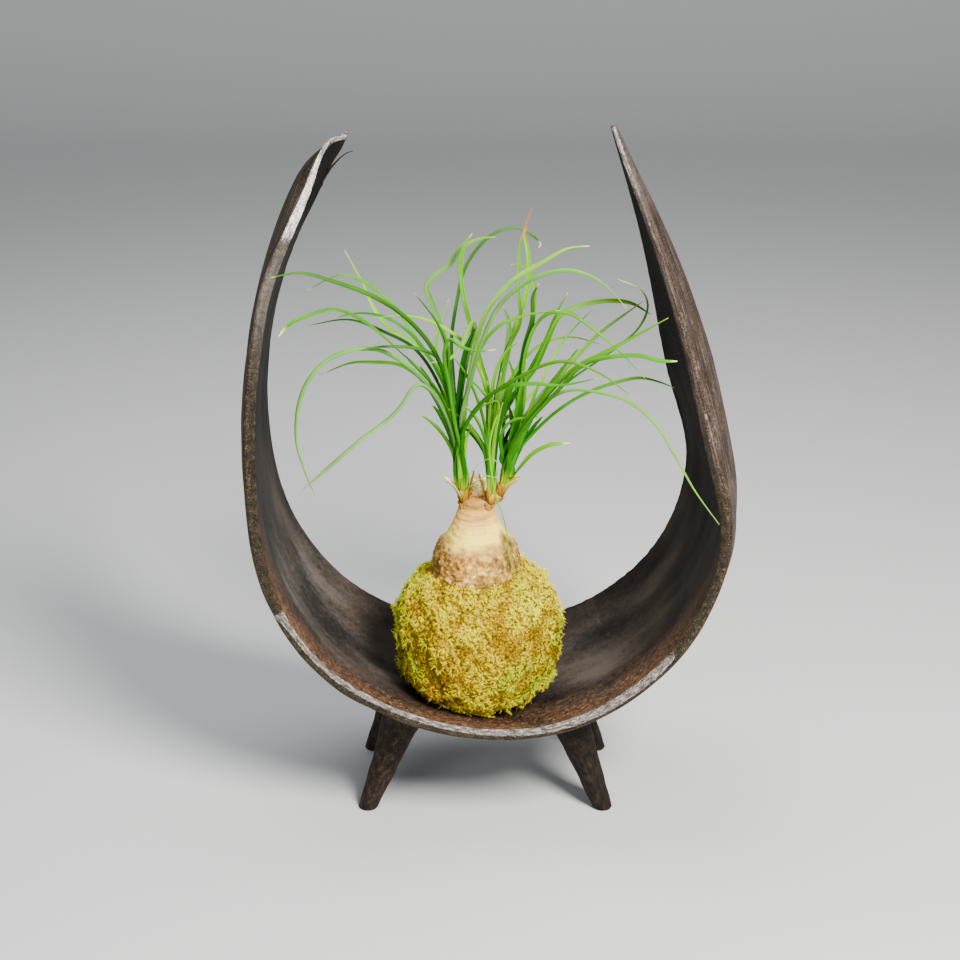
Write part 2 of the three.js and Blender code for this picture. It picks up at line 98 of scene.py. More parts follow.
def splineAt(points, t, centripetal=False):
    points = np.asarray(points, float)
    t = np.clip(np.atleast_1d(np.asarray(t, float)), 0, 1)
    padded = np.vstack([2 * points[0] - points[1], points, 2 * points[-1] - points[-2]])
    place = t * (len(points) - 1)
    i = np.minimum(place.astype(int), len(points) - 2)
    w = (place - i)[:, None]
    p0, p1, p2, p3 = (padded[i + k] for k in range(4))
    if centripetal:
        d0, d1, d2 = (np.sqrt(np.maximum(np.linalg.norm(b - a, axis=1, keepdims=True), 1e-6))
                      for a, b in ((p0, p1), (p1, p2), (p2, p3)))
        m1 = ((p1 - p0) / d0 - (p2 - p0) / (d0 + d1) + (p2 - p1) / d1) * d1
        m2 = ((p2 - p1) / d1 - (p3 - p1) / (d1 + d2) + (p3 - p2) / d2) * d1
    else:
        m1, m2 = (p2 - p0) / 2, (p3 - p1) / 2
    return ((2 * w ** 3 - 3 * w ** 2 + 1) * p1 + (w ** 3 - 2 * w ** 2 + w) * m1
            + (3 * w ** 2 - 2 * w ** 3) * p2 + (w ** 3 - w ** 2) * m2)


def unit(vectors):
    return vectors / np.maximum(np.linalg.norm(vectors, axis=-1, keepdims=True), 1e-9)


def turns(count):
    return np.arange(count) * 2 * math.pi / count


def ring(turn):
    return np.stack([np.cos(turn), np.sin(turn), 0 * turn], -1)


def between(a, b, share):
    return a * (1 - share) + b * share


def ease(value, start, end):
    share = np.clip((np.asarray(value, float) - start) / (end - start), 0, 1)
    return share * share * (3 - 2 * share)


def waves(points, size, seed, count=16):
    # smooth uneven ground of about unit height, with swells this size in mm
    draw = np.random.default_rng(seed)
    ways = unit(draw.normal(size=(count, np.shape(points)[-1]))) * (2 * math.pi / size)
    ways *= draw.uniform(0.6, 1.6, size=(count, 1))
    return np.sin(points @ ways.T + draw.uniform(0, 2 * math.pi, count)).sum(-1) / math.sqrt(count)


def tube(points, radii, sides=8, flat=1.0):
    # points and faces of a closed round bar along a row of points
    points = np.asarray(points, float)
    ways = unit(np.gradient(points, axis=0))
    side = unit(np.cross(ways, (0.13, 0.27, 1.0)))
    up = np.cross(side, ways)
    turn = turns(sides)
    rim = np.cos(turn)[None, :, None] * side[:, None] + flat * np.sin(turn)[None, :, None] * up[:, None]
    body = points[:, None] + rim * np.asarray(radii, float)[:, None, None]
    return skin(body)


def merge(parts):
    points, faces, start = [], [], 0
    for some, theirs in parts:
        points.append(np.asarray(some, float))
        faces += [tuple(k + start for k in face) for face in theirs]
        start += len(some)
    return np.vstack(points), faces


# helpers for materials

def linear(code):
    parts = [int(code[i:i + 2], 16) / 255 for i in (0, 2, 4)]
    return np.array([p / 12.92 if p <= 0.04045 else ((p + 0.055) / 1.055) ** 2.4 for p in parts])


def newMaterial(name, roughness, specular=0.5):
    made = bpy.data.materials.new(name)
    made.use_nodes = True
    shader = made.node_tree.nodes["Principled BSDF"]
    shader.inputs["Roughness"].default_value = roughness
    shader.inputs["Specular IOR Level"].default_value = specular
    return made, shader


def put(kind, inputs, out=0, tree=None, **settings):
    # the node joins the tree of the values that feed it
    if tree is None:
        tree = next(value.id_data for value in inputs.values() if isinstance(value, bpy.types.NodeSocket))
    node = tree.nodes.new("ShaderNode" + kind)
    for key, value in settings.items():
        setattr(node, key, value)
    for key, value in inputs.items():
        if isinstance(value, bpy.types.NodeSocket):
            tree.links.new(value, node.inputs[key])
        else:
            node.inputs[key].default_value = value
    return node.outputs[out]


def mark(shader, name, vector=False):
    return put("Attribute", {}, 1 if vector else 2, shader.id_data, attribute_name=name)


def placeOn(shader):
    return put("TexCoord", {}, 3, shader.id_data)


def noise(place, scale, detail=4.0, roughness=0.55):
    # the scale is one number, or one for each way
    if isinstance(scale, tuple):
        place, scale = put("Mapping", {"Vector": place, "Scale": scale}), 1
    return put("TexNoise", {"Vector": place, "Scale": scale, "Detail": detail, "Roughness": roughness})


def ramp(factor, stops):
    node = factor.id_data.nodes.new("ShaderNodeValToRGB")
    factor.id_data.links.new(factor, node.inputs[0])
    elements = node.color_ramp.elements
    for i, (place, code) in enumerate(stops.items()):
        element = elements[i] if i < 2 else elements.new(place)
        element.position = place
        element.color = (*linear(code), 1) if isinstance(code, str) else (code, code, code, 1)
    return node.outputs[0]


def mixed(factor, a, b, mode="MIX"):
    a, b = ((*linear(c), 1) if isinstance(c, str) else c for c in (a, b))
    return put("Mix", {0: factor, 6: a, 7: b}, 2, data_type="RGBA", blend_type=mode)


def times(a, b):
    return put("Math", {0: a, 1: b}, operation="MULTIPLY")


def plus(a, b):
    return put("Math", {0: a, 1: b}, operation="ADD")


def blend(*parts):
    # a weighted sum of values
    total = None
    for value, weight in parts:
        part = times(value, weight)
        total = part if total is None else plus(total, part)
    return total


def feed(shader, name, value):
    shader.id_data.links.new(value, shader.inputs[name])


def bumpy(shader, height, strength, depth):
    feed(shader, "Normal", put("Bump", {"Height": height, "Strength": strength, "Distance": depth * mm}))


def paintTint(shader, tone):
    # the tint at the points, made lighter and darker
    feed(shader, "Base Color", mixed(1.0, mark(shader, "tint", vector=True), tone, "MULTIPLY"))


# camera, floor and light

view = {
    "tilt": 23, "distance": 1000, "target": (-3, 0, 186),
    "lens": 69.45, "sensor": 36, "clip": (0.05, 20),
}
tilt = math.radians(view["tilt"])
toCamera = np.array([0, -math.cos(tilt), math.sin(tilt)])
lights = [
    # name, place, target, width, watts, colour
    ("keyLight", (420, -640, 880), (0, 0, 160), 380, 39, (1.0, 0.97, 0.92)),
    ("fillLight", (-560, -860, 420), (0, 0, 160), 600, 4, (0.95, 0.98, 1.0)),
    ("topLight", (-150, 250, 1000), (0, 0, 160), 700, 8, (1.0, 1.0, 1.0)),
]
surround = {
    "colour": (0.9, 0.94, 1.0, 1), "strength": 0.2,
    # the floor's colours, and from where to where in m it grows paler
    "floor": "bcbebf", "farFloor": "f6f7f8", "paler": (1.2, 3.2),
    # its front edge, where it bends up behind, the bend's radius, the wall's height, half its width
    "front": -15000, "back": 1600, "bend": 900, "wall": 2500, "half": 15000,
}


def aim(thing, place, target):
    thing.location = ((np.array(place, float) + shift) * mm).tolist()
    way = Vector((np.array(target, float) - np.array(place, float)).tolist())
    thing.rotation_euler = way.to_track_quat("-Z", "Y").to_euler()


def makeCamera():
    data = bpy.data.cameras.new("camera")
    data.lens, data.sensor_width = view["lens"], view["sensor"]
    data.clip_start, data.clip_end = view["clip"]
    camera = addObject("camera", data)
    aim(camera, np.array(view["target"]) + view["distance"] * toCamera, view["target"])
    bpy.context.scene.camera = camera


def makeLights():
    for name, place, target, width, watts, colour in lights:
        data = bpy.data.lights.new(name, "AREA")
        data.shape, data.size, data.energy, data.color = "DISK", width * mm, watts, colour
        aim(addObject(name, data), place, target)
    world = bpy.data.worlds.new("softStudio")
    world.use_nodes = True
    background = world.node_tree.nodes["Background"]
    background.inputs["Color"].default_value = surround["colour"]
    background.inputs["Strength"].default_value = surround["strength"]
    bpy.context.scene.world = world


def makeFloor():
    made, shader = newMaterial("paleFloor", 0.8, 0.2)
    # paler far off, where less light falls
    far = put("VectorMath", {0: placeOn(shader)}, 1, operation="LENGTH")
    start, end = surround["paler"]
    far = put("MapRange", {"Value": far, "From Min": start, "From Max": end},
              interpolation_type="SMOOTHSTEP")
    feed(shader, "Base Color", mixed(far, surround["floor"], surround["farFloor"]))
    # flat in front, then a wide bend up to a wall far behind
    back, bend, half = surround["back"], surround["bend"], surround["half"]
    turn = np.linspace(0, math.pi / 2, 24)
    y = np.r_[surround["front"], back + bend * np.sin(turn), back + bend]
    z = np.r_[0, bend * (1 - np.cos(turn)), surround["wall"]]
    points = [(x, a, b) for a, b in zip(y, z) for x in (-half, half)]
    faces = [(i, i + 1, i + 3, i + 2) for i in range(0, len(points) - 2, 2)]
    floor = addMesh("floor", points, faces, made)


# the stand: a slab of dark stoneware bent up on both sides, with four feet

stand = {
    "thick": 6, "tipThick": 2.6, "ripple": 0.7, "roundedTo": 0.038, "tipWidth": 0.25,
    "innerCorner": 0.8, "outerCorner": 2.3, "along": 620, "across": 60,
    "swell": 0.2, "ridges": 0.12, "chewed": 0.17,
    "chip": 0.3235, "chipDepth": 1.5, "chipLength": 0.012, "chipWear": 0.006, "thinTo": 0.16,
    # x, y and z of the middle line, half the depth, curl of the edges, twist
    "stations": [
        [-71.6, 0, 372.7, 5, -2.6, 43.7],
        [-93.3, 2.2, 352, 13.6, 8.5, 10.2],
        [-113.7, 0.9, 296.3, 45, 3.5, 1.2],
        [-126, 0, 222, 60, 4, -3],
        [-119, 0, 148, 65, 4, -3],
        [-90, 0, 92, 66, 9, -3],
        [-40, 0, 58, 65, 14, -2],
        [18, 0, 50, 65, 15, -1],
        [72, 0, 71, 65, 13, 0],
        [112, 0, 115, 65, 10, 0],
        [130, 0, 174, 64, 10, 2],
        [120, 0, 239, 58, 14, 4],
        [98, 0, 307, 39, 10, 4],
        [64, 0, 378, 3, 1, 3],
    ],
    # share of the length, then how much painted silver sheen the front lip shows there
    "silver": [[0, 0.5], [0.03, 0.55], [0.045, 1], [0.1, 1], [0.119, 0.2], [0.3225, 0.05], [0.324, 0.85],
               [0.5, 0.8], [0.672, 0.75], [0.69, 0.05], [0.95, 0.1], [0.985, 0.4], [1, 0.6]],
    "splinter": [[-81, 8, 351.5], [-78.8, 9, 354.7], [-76.7, 9, 357.2], [-73.6, 9, 360.3], [-70.5, 9, 362.4],
                 [-67.4, 9, 363.4]],
    "splinterGirth": 0.75,
    "crumb": [[-2, 0, -0.6], [-0.8, 0, -0.1], [0.1, 0.4, 0.7], [0.5, 0.5, 1.5], [0.2, 0.4, 2.2]],
    "crumbGirths": [0.6, 1.5, 1.25, 0.95, 0.3],
    # what the glaze, rust, dust, painted sheen, painted highlight and painted shade go by, from nought to
    # one
    "marks": ["lip", "inside", "worn", "rust", "deep", "dusty", "white"],
    # shares of the length between which a mark comes, or goes where the first is the larger
    "stretches": {
        "whiteFrom": (0.03, 0.05), "whiteTo": (0.12, 0.1), "dustFrom": (0.09, 0.11), "dustTo": (0.22, 0.13),
        "deepLeft": (0.34, 0.22), "outerShadeLeft": (0.4, 0.22), "bowlFrom": (0.2, 0.34), "bowlTo": (0.8, 0.68),
        "toRight": (0.42, 0.6), "stripeSinks": (0.42, 0.62), "deepRight": (0.66, 0.78),
        "outerShadeRight": (0.8, 0.9), "lipFades": (0.78, 0.86), "dustyTip": (0.95, 0.975),
        "wornTip": (0.955, 0.985),
    },
}
foot = {
    "spread": 66, "depth": 32, "topSpread": 41, "topDepth": 22, "topZ": 66,
    "profile": [[0, 4.8], [0.012, 5.5], [0.2, 6.7], [0.45, 8.3], [0.7, 10.6], [1, 13.6]],
    "rings": 70, "around": 44, "fillet": 3.2, "filletReach": 3.5, "hidden": 1.6, "lump": 0.22,
    "corners": (("FrontLeft", -1, -1), ("FrontRight", 1, -1), ("BackLeft", -1, 1), ("BackRight", 1, 1)),
}


def slabHalf(t):
    fromTip = ease(np.minimum(t, 1 - t), 0, stand["thinTo"])
    return (stand["tipThick"] + (stand["thick"] - stand["tipThick"]) * fromTip) / 2


def slabPoints(t, side, offset):
    # t from tip to tip, side from the front edge to the back one, offset inward in mm
    rows = np.array(stand["stations"], float)
    middle = splineAt(rows[:, :3], t)
    way = splineAt(rows[:, :3], t + 1e-4) - splineAt(rows[:, :3], t - 1e-4)
    halfDepth, curl, twist = splineAt(rows[:, 3:], t).T[:, :, None]
    inward = unit(np.stack([-way[:, 2], 0 * t, way[:, 0]], 1))
    past = np.maximum(0, 1 - t / stand["roundedTo"])[:, None]
    width = stand["tipWidth"] + (1 - stand["tipWidth"]) * np.sqrt(1 - past ** 2)
    side = 1 - (1 - side) * width
    depth = halfDepth + stand["ripple"] * (np.sin(41 * t) * np.sin(17 * t + 1))[:, None]
    across, slope = side * depth, 2 * curl * side / depth
    lift = curl * side ** 2 + across * np.sin(np.radians(twist)) + offset / np.hypot(1, slope)
    sideways = across * np.cos(np.radians(twist)) - offset * slope / np.hypot(1, slope)
    points = middle[:, None] + inward[:, None] * lift[..., None]
    points[..., 1] += sideways
    return points


def slabSection(t):
    # a closed loop at each t: inner face, back lip, outer face, front lip
    half = slabHalf(t)[:, None]
    inner, outer = (np.minimum(stand[key], 0.4 * 2 * half) for key in ("innerCorner", "outerCorner"))
    turns, flat = np.radians([20, 42, 65, 90])[None], np.linspace(0, 1, 5)[None, 1:-1]
    inset = [inner * (1 - np.sin(turns)), 0 * half * flat, outer * (1 - np.sin(turns[:, ::-1]))]
    drop = [half - inner * (1 - np.cos(turns)), (half - inner) * (1 - flat) + (outer - half) * flat,
            outer * (1 - np.cos(turns[:, ::-1])) - half]
    inset, drop = np.hstack(inset), np.hstack(drop)
    faceSide = np.linspace(-1, 1, stand["across"] + 1)[None]
    depth = np.maximum(splineAt(np.array(stand["stations"])[:, 3:], t)[:, :1], 2.5)
    side = np.hstack([(1 - inner / depth) * faceSide, 1 - inset / depth,
                      -(1 - outer / depth) * faceSide, (inset / depth - 1)[:, ::-1]])
    offset = np.hstack([half + 0 * faceSide, drop, -half + 0 * faceSide, drop[:, ::-1]])
    face, lip = faceSide.shape[1], inset.shape[1]
    onLip = np.repeat([0.0, 1.0, 0.0, 1.0], [face, lip, face, lip])[None]
    atFront = np.repeat([0.0, 0.0, 0.0, 1.0], [face, lip, face, lip])[None]
    return side, offset, onLip, atFront, depth


def addStoneware(name, points, faces, material, clay, **marks):
    # each mark is a number for the whole piece or one for each point, and nought where it isn't given
    marks = {key: np.zeros(len(points)) + np.ravel(marks.get(key, 0)) for key in stand["marks"]}
    return addPiece(name, points, faces, material, ["crescent_stand"], "stoneware",
                    clay=clay.reshape(-1, 3), **marks)


def makeSlab(material):
    t = np.linspace(0, 1, stand["along"] + 1)
    side, offset, onLip, atFront, depth = slabSection(t)
    steps = np.linalg.norm(np.diff(splineAt(np.array(stand["stations"])[:, :3], t), axis=0), axis=1)
    along = np.r_[0, np.cumsum(steps)][:, None] + 0 * side
    t = t[:, None]
    fromTip = ease(np.minimum(t, 1 - t), 0.02, 0.2)
    # mm along, mm from the front edge and mm through the slab
    place = np.stack([along, (side + 1) * depth, offset], -1)
    # low swells from hand building, ridges along the outside, and lips that are a little chewed
    swell = stand["swell"] * fromTip * waves(place * (0.35, 1, 0), 16, 5)
    ridges = waves(place * (0.05, 1, 0), 4.2, 6) + waves(place * (0.12, 1, 0), 9, 7)
    ridges *= stand["ridges"] * (0.3 + 0.7 * fromTip)
    raised = offset + (1 - onLip) * np.where(offset > 0, swell + 0.2 * ridges, ridges - swell)
    chewed = waves(place * (1, 0, 1), 5, 8) + 0.7 * waves(place * (1, 0, 1), 2.1, 9)
    edge = side - np.sign(side) * onLip * stand["chewed"] * (0.5 + chewed) * (0.2 + 0.8 * fromTip) / depth
    past = np.where(t < stand["chip"], np.exp((t - stand["chip"]) / stand["chipLength"]), 0)
    edge = edge + past * stand["chipDepth"] / depth * ease(-side * depth, depth - 9, depth - 2)
    points = slabPoints(t[:, 0], edge, raised)

    on = {name: ease(t, *ends) for name, ends in stand["stretches"].items()}
    silver = np.interp(t, *np.array(stand["silver"]).T)
    low = -0.5 - 1.7 * on["stripeSinks"] - 4 * np.exp(-np.abs(t - stand["chip"]) / stand["chipWear"])
    stripe = np.where(t < 0.2, 1, 0.1 + 0.9 * ease(offset, low, low + 1.8))
    inside = ease(offset, -1, 1) * (1 - 0.6 * onLip)
    nearFront = ease((1 - side) / 2, 0.62 - 0.1 * on["toRight"], 0.98)
    bump = lambda middle, wide: np.exp(-((t - middle) / wide) ** 2)
    onLeft = bump(0.35, 0.05) * ease(side, -0.6, -0.2) * (1 - 0.7 * ease(side, 0.3, 1))
    dusty = inside * (1 - onLip) * (0.6 * onLeft + 0.15 * bump(0.6, 0.05) * ease(side, -0.5, 0))
    dusty += 0.65 * onLip * on["dustFrom"] * on["dustTo"] + 0.9 * on["dustyTip"]
    # painted shade: darker inside near the left tip and inside the right arm, and on the outer face of the
    # left arm and of the right arm's end, where little light falls
    deep = 0.95 * inside * (on["deepLeft"] + on["deepRight"])
    deep += (1 - inside) * (1 - onLip) * (0.45 * on["outerShadeLeft"] + 0.25 * on["outerShadeRight"])
    slab = addStoneware(
        "standSlab", *skin(points), material, place,
        inside=inside, deep=np.minimum(deep, 1), dusty=np.minimum(dusty, 1),
        # painted highlight: near the left tip the lip is painted white where it reflects the light
        lip=onLip * (1 - 0.9 * on["lipFades"]), white=onLip * on["whiteFrom"] * on["whiteTo"],
        # painted sheen: a silvery band along the upper lip where the glaze catches the light
        worn=silver * stripe * (onLip * (0.3 + 0.7 * atFront) + 0.65 * on["wornTip"]),
        rust=inside * (1 - onLip) * nearFront * on["bowlFrom"] * on["bowlTo"],
    )

    share = np.linspace(0, 1, 24)
    girth = stand["splinterGirth"] * (1 - share) ** 0.6 + 0.2
    points, faces = tube(splineAt(stand["splinter"], share), girth, flat=0.5)
    addStoneware("standSplinter", points, faces, material, points, inside=1, deep=1)
    # a ragged crumb left on the back corner of the left tip
    corner = slabPoints(np.array([0.0]), np.array([[0.9]]), np.array([[0.0]]))[0, 0]
    points, faces = tube(corner + np.array(stand["crumb"]), stand["crumbGirths"], 9)
    points += 0.28 * waves(points, 1.5, 10)[:, None]
    # the crumb shows the painted silver sheen too
    addStoneware("standCrumb", points, faces, material, points, worn=0.9)
    return slab


def surfaceOf(piece):
    mesh = piece.data
    return BVHTree.FromPolygons([v.co for v in mesh.vertices], [p.vertices for p in mesh.polygons])


def makeFeet(slab, material):
    surface = surfaceOf(slab)
    rises, radii = np.array(foot["profile"]).T
    share = np.r_[0, 0.004, np.linspace(0.012, 1, foot["rings"] - 2)]
    turn = turns(foot["around"])
    way = ring(turn)
    for name, right, back in foot["corners"]:
        x = right * (foot["spread"] + (foot["topSpread"] - foot["spread"]) * share)
        y = back * (foot["depth"] + (foot["topDepth"] - foot["depth"]) * share)
        axis = np.stack([x, y, share * foot["topZ"]], 1)[:, None]
        points = axis + way[None] * np.interp(share, rises, radii)[:, None, None]
        lumps = waves(points * (1, 1, 0.3), 7, 23 + right + 2 * back) * ease(share, 0, 0.1)[:, None]
        flat = (points + way[None] * foot["lump"] * lumps[..., None]).reshape(-1, 3)
        for i, point in enumerate(flat):
            hit = surface.ray_cast(Vector(((point + shift) * (mm, mm, 0)).tolist()), Vector((0, 0, 1)))[0]
            ceiling = hit.z / mm if hit else 80
            away = max(ceiling - point[2], 0)
            flat[i] += way[i % foot["around"]] * foot["fillet"] * math.exp(-away / foot["filletReach"])
            flat[i][2] = min(point[2], ceiling + foot["hidden"])
        clay = np.stack([np.repeat(share * foot["topZ"], len(turn)), np.tile(turn, len(share)) * 8,
                         np.full(len(flat), 40.0 * right)], 1)
        # painted shade: the right feet are darker, as they stand in the slab's shadow
        addPiece("standFoot" + name, flat, loopFaces(len(share), len(turn)), material,
                 ["crescent_stand"], "stoneware", clay=clay, deep=np.full(len(flat), 0.25 + 0.25 * right))


def stonewareMaterial():
    made, shader = newMaterial("darkStoneware", 0.6, 0.15)
    clay = mark(shader, "clay", vector=True)
    inside, lip, deep, dusty = (mark(shader, name) for name in ("inside", "lip", "deep", "dusty"))
    smears = noise(clay, (0.018, 0.05, 0.1), 2, 0.5)
    streaks = noise(clay, (0.025, 0.4, 0.4), 5, 0.6)
    lines = noise(clay, (0.05, 1.5, 1.0), 6, 0.6)
    specks = noise(clay, 1.2, 4, 0.6)
    mottle = noise(clay, 0.3, 6, 0.65)
    patches = noise(clay, 0.045, 4, 0.55)

    grain = blend((lines, 0.42), (streaks, 0.25), (specks, 0.33))
    outer = ramp(grain, {0.4: "120c09", 0.47: "2d221c", 0.53: "50433a", 0.6: "7a6a60"})
    outer = mixed(ramp(patches, {0.38: 0.55, 0.6: 0.0}), outer, "231914")
    chips = noise(clay, (0.16, 0.6, 0.5), 3, 0.5)
    outer = mixed(ramp(chips, {0.69: 0.0, 0.72: 0.55}), outer, "a8948a")
    tone = blend((smears, 0.6), (mottle, 0.2), (specks, 0.2))
    inner = ramp(tone, {0.4: "0d0b0a", 0.47: "1a1613", 0.54: "29231e", 0.62: "403832"})
    inner = mixed(ramp(blend((patches, 0.6), (mottle, 0.4)), {0.46: 0.0, 0.58: 0.4}),
                  inner, "32251a")
    colour = mixed(inside, outer, inner)

    mix = blend((mottle, 0.5), (specks, 0.5))
    rusty = ramp(mix, {0.41: "20130c", 0.47: "4b3021", 0.54: "724e37", 0.61: "936c4b", 0.67: "be9a6d"})
    spread = ramp(blend((patches, 0.35), (mottle, 0.35), (specks, 0.3)), {0.42: 0.0, 0.55: 1.0})
    colour = mixed(times(mark(shader, "rust"), spread), colour, rusty)
    flecks = noise(clay, 2.4, 2, 0.5)
    lipClay = ramp(mix, {0.41: "0f0c08", 0.48: "211a12", 0.56: "372e20", 0.66: "574a33"})
    glints = times(ramp(flecks, {0.66: 0.0, 0.7: 1.0}), 0.8)
    colour = mixed(lip, colour, mixed(glints, lipClay, "b39a55"))
    cloud = ramp(blend((smears, 0.6), (mottle, 0.4)), {0.38: 0.2, 0.6: 1.0})
    dust = ramp(blend((smears, 0.4), (mottle, 0.3), (specks, 0.3)), {0.42: "453f3a", 0.6: "6c655f"})
    colour = mixed(times(dusty, cloud), colour, dust)
    # painted shade where little light falls
    colour = mixed(times(deep, 0.88), colour, "060504")

    # the painted silver sheen of the lip, broken up by streaks
    sheenStreaks = noise(clay, (0.2, 1.0, 1.0), 5, 0.6)
    silvery = ramp(blend((sheenStreaks, 0.6), (specks, 0.4)),
                   {0.4: "332e2a", 0.47: "554e49", 0.54: "7b746f", 0.63: "b6b0aa"})
    glare = ramp(blend((sheenStreaks, 0.5), (specks, 0.5)), {0.43: 0.12, 0.57: 0.62})
    # the painted white highlight near the left tip
    silvery = mixed(times(mark(shader, "white"), glare), silvery, "fbf9f7")
    sheenMix = ramp(blend((mark(shader, "worn"), 1.0), (mix, 0.9)), {0.8: 0.0, 1.07: 1.0})
    colour = mixed(sheenMix, colour, silvery)
    feed(shader, "Base Color", colour)
    rough = blend((mix, 0.5), (mark(shader, "rust"), 0.15), (deep, 0.15))
    feed(shader, "Roughness", plus(rough, 0.32))
    height = mixed(inside, blend((grain, 1.2), (specks, 0.5)), blend((mottle, 0.35), (specks, 0.25)))
    bumpy(shader, height, 0.8, 0.5)
    return made


def footMaterial():
    made, shader = newMaterial("footStoneware", 0.75, 0.15)
    clay = mark(shader, "clay", vector=True)
    mottle = noise(clay, (0.22, 0.3, 0.3), 6, 0.65)
    specks = noise(clay, 1.1, 4, 0.6)
    tone = blend((mottle, 0.65), (specks, 0.35))
    colour = ramp(tone, {0.4: "0b0806", 0.48: "1d150f", 0.57: "33271c", 0.68: "5c4936"})
    # painted shade on the right feet
    feed(shader, "Base Color", mixed(mark(shader, "deep"), colour, "0c0907"))
    bumpy(shader, tone, 0.8, 0.5)
    return made


# the moss ball: a lumpy core under a coat of small curled sprigs

moss = {
    "rings": 150, "around": 260, "fuzz": 0.5, "cushions": 460, "sprigs": 24500, "pieces": 6, "seed": 31,
    "length": (1.7, 5.0), "stem": 0.13, "leaflet": (0.6, 1.5), "leafletWidth": 0.14, "leftSwell": 1.8,
    "sunk": 0.4, "rise": (0.5, 1.3), "curl": (0.1, 1.7), "leafletsAt": (0.8, 1.5, 2.2), "sway": 0.2,
    # how high the slab reaches under the ball, and from where its face is looked for
    "slabTop": 78, "dropFrom": 110,
    "mustard": ["8e6e00", "d8ae00", "fadc00", "fffa10"], "lime": ["4e6600", "88a400", "bcd200", "e8f418"],
    "brown": ["4a2c04", "8a5c08", "c89414", "f0c828"], "litGold": ["9c8000", "ecc800", "f8f000", "fdff30"],
    # patches of lime, gold or brown: a point on the ball, how wide, how strong; the lighter gold on the
    # upper right is partly the moss's own gold, partly painted light
    "limePatches": [[(-47, -12, 98), 21, 1], [(-34, -34, 92), 12, 0.9], [(41, -14, 84), 24, 0.9],
                    [(14, -42, 88), 14, 0.9], [(26, -36, 74), 14, 0.8], [(-36, 8, 124), 20, 0.9],
                    [(36, -10, 112), 12, 0.4], [(0, 44, 95), 40, 0.7]],
    "litGoldPatches": [[(24, -28, 124), 20, 1], [(34, -24, 104), 14, 0.7], [(8, -44, 110), 12, 0.5]],
    "brownPatches": [[(-28, -38, 72), 14, 0.75], [(-6, -44, 64), 14, 0.55], [(-2, -45, 98), 7, 0.45],
                     [(26, -38, 84), 5, 0.6], [(-26, -38, 108), 8, 0.55], [(-12, -44, 84), 6, 0.4]],
}


def ballPoints(tilt, turn, grow):
    squared = lambda value: np.sign(value) * np.abs(value) ** (2 / ball["power"])
    cushions = np.sin(9 * turn + 2 * np.sin(3 * tilt)) * np.sin(11 * tilt + np.sin(2 * turn))
    tufts = 0.6 * np.sin(14 * turn + 6 * tilt) * np.sin(13 * tilt - 5 * turn)
    left = np.maximum(-np.cos(turn), 0) ** 3 * np.sin(tilt) ** 3
    bump = ball["relief"] * (cushions + tufts) * np.sin(tilt) + moss["leftSwell"] * left + grow
    radius = (ball["radius"] + bump) * squared(np.sin(tilt))
    height = (ball["halfHeight"] + bump) * squared(np.cos(tilt))
    return np.stack([ball["x"] + radius * np.cos(turn), radius * np.sin(turn), ball["z"] + height], -1)


def onSlab(points, surface, clear):
    # what would sink into the slab is lifted onto it
    points = points.copy()
    for i in np.nonzero(points[:, 2] < moss["slabTop"])[0]:
        above = Vector(((points[i] + shift) * mm).tolist())
        above.z = moss["dropFrom"] * mm
        hit = surface.ray_cast(above, Vector((0, 0, -1)))[0]
        if hit:
            points[i, 2] = max(points[i, 2], hit.z / mm + clear)
    return points


def mossTint(points, draw, light):
    bright = np.clip(light * 3 + draw.normal(0, 0.4, len(points)), 0, 2.999)
    step = bright.astype(int)
    part = (bright - step)[:, None]
    looks = {}
    for name in ("mustard", "litGold", "lime", "brown"):
        codes = np.array([linear(code) for code in moss[name]])
        looks[name] = between(codes[step], codes[step + 1], part)
    cloud = waves(points, 17, 41) * 0.5 + waves(points, 6, 42) * 0.4
    colour = looks["mustard"]
    # the lighter gold patches are partly painted light where the light falls on the upper right
    for name, most in (("litGold", 1), ("lime", 1), ("brown", 0.85)):
        near = sum(strength * np.exp(-((points - place) ** 2).sum(1) / (0.72 * wide ** 2))
                   for place, wide, strength in moss[name + "Patches"])
        share = most * ease(near + 0.35 * cloud, 0.25, 0.65)[:, None]
        colour = between(colour, looks[name], share)
    return colour


def sprigRoots(draw):
    # roots all over the ball, each leaning away from the middle of its own little cushion
    count = moss["sprigs"]
    tilt, turn = np.arccos(draw.uniform(-1, 1, count)), draw.uniform(0, 2 * math.pi, count)
    roots = ballPoints(tilt, turn, -0.7)
    ahead = unit(ballPoints(tilt, turn + 1e-3, -0.7) - roots)
    normal = unit(np.cross(ballPoints(tilt + 1e-3, turn, -0.7) - roots, ahead))
    bare = np.where(roots[:, 2] > 118, caudex["bare"], 0)
    keep = np.hypot(roots[:, 0] - caudex["x"], roots[:, 1]) > bare
    roots, ahead, normal = roots[keep], ahead[keep], normal[keep]
    centres = ballPoints(np.arccos(draw.uniform(-1, 1, moss["cushions"])),
                         draw.uniform(0, 2 * math.pi, moss["cushions"]), 0)
    away = np.empty_like(roots)
    for i in range(0, len(roots), 1000):
        gaps = roots[i:i + 1000, None] - centres[None]
        nearest = (gaps ** 2).sum(2).argmin(1)
        away[i:i + 1000] = gaps[np.arange(len(nearest)), nearest]
    away -= normal * (away * normal).sum(1, keepdims=True)
    far = np.linalg.norm(away, axis=1, keepdims=True)
    spin = draw.uniform(0, 2 * math.pi, (len(roots), 1))
    loose = ahead * np.cos(spin) + np.cross(normal, ahead) * np.sin(spin)
    roots += normal * (1.25 - 0.38 * far)
    return roots, normal, unit(away / 3 + loose * 0.8), far


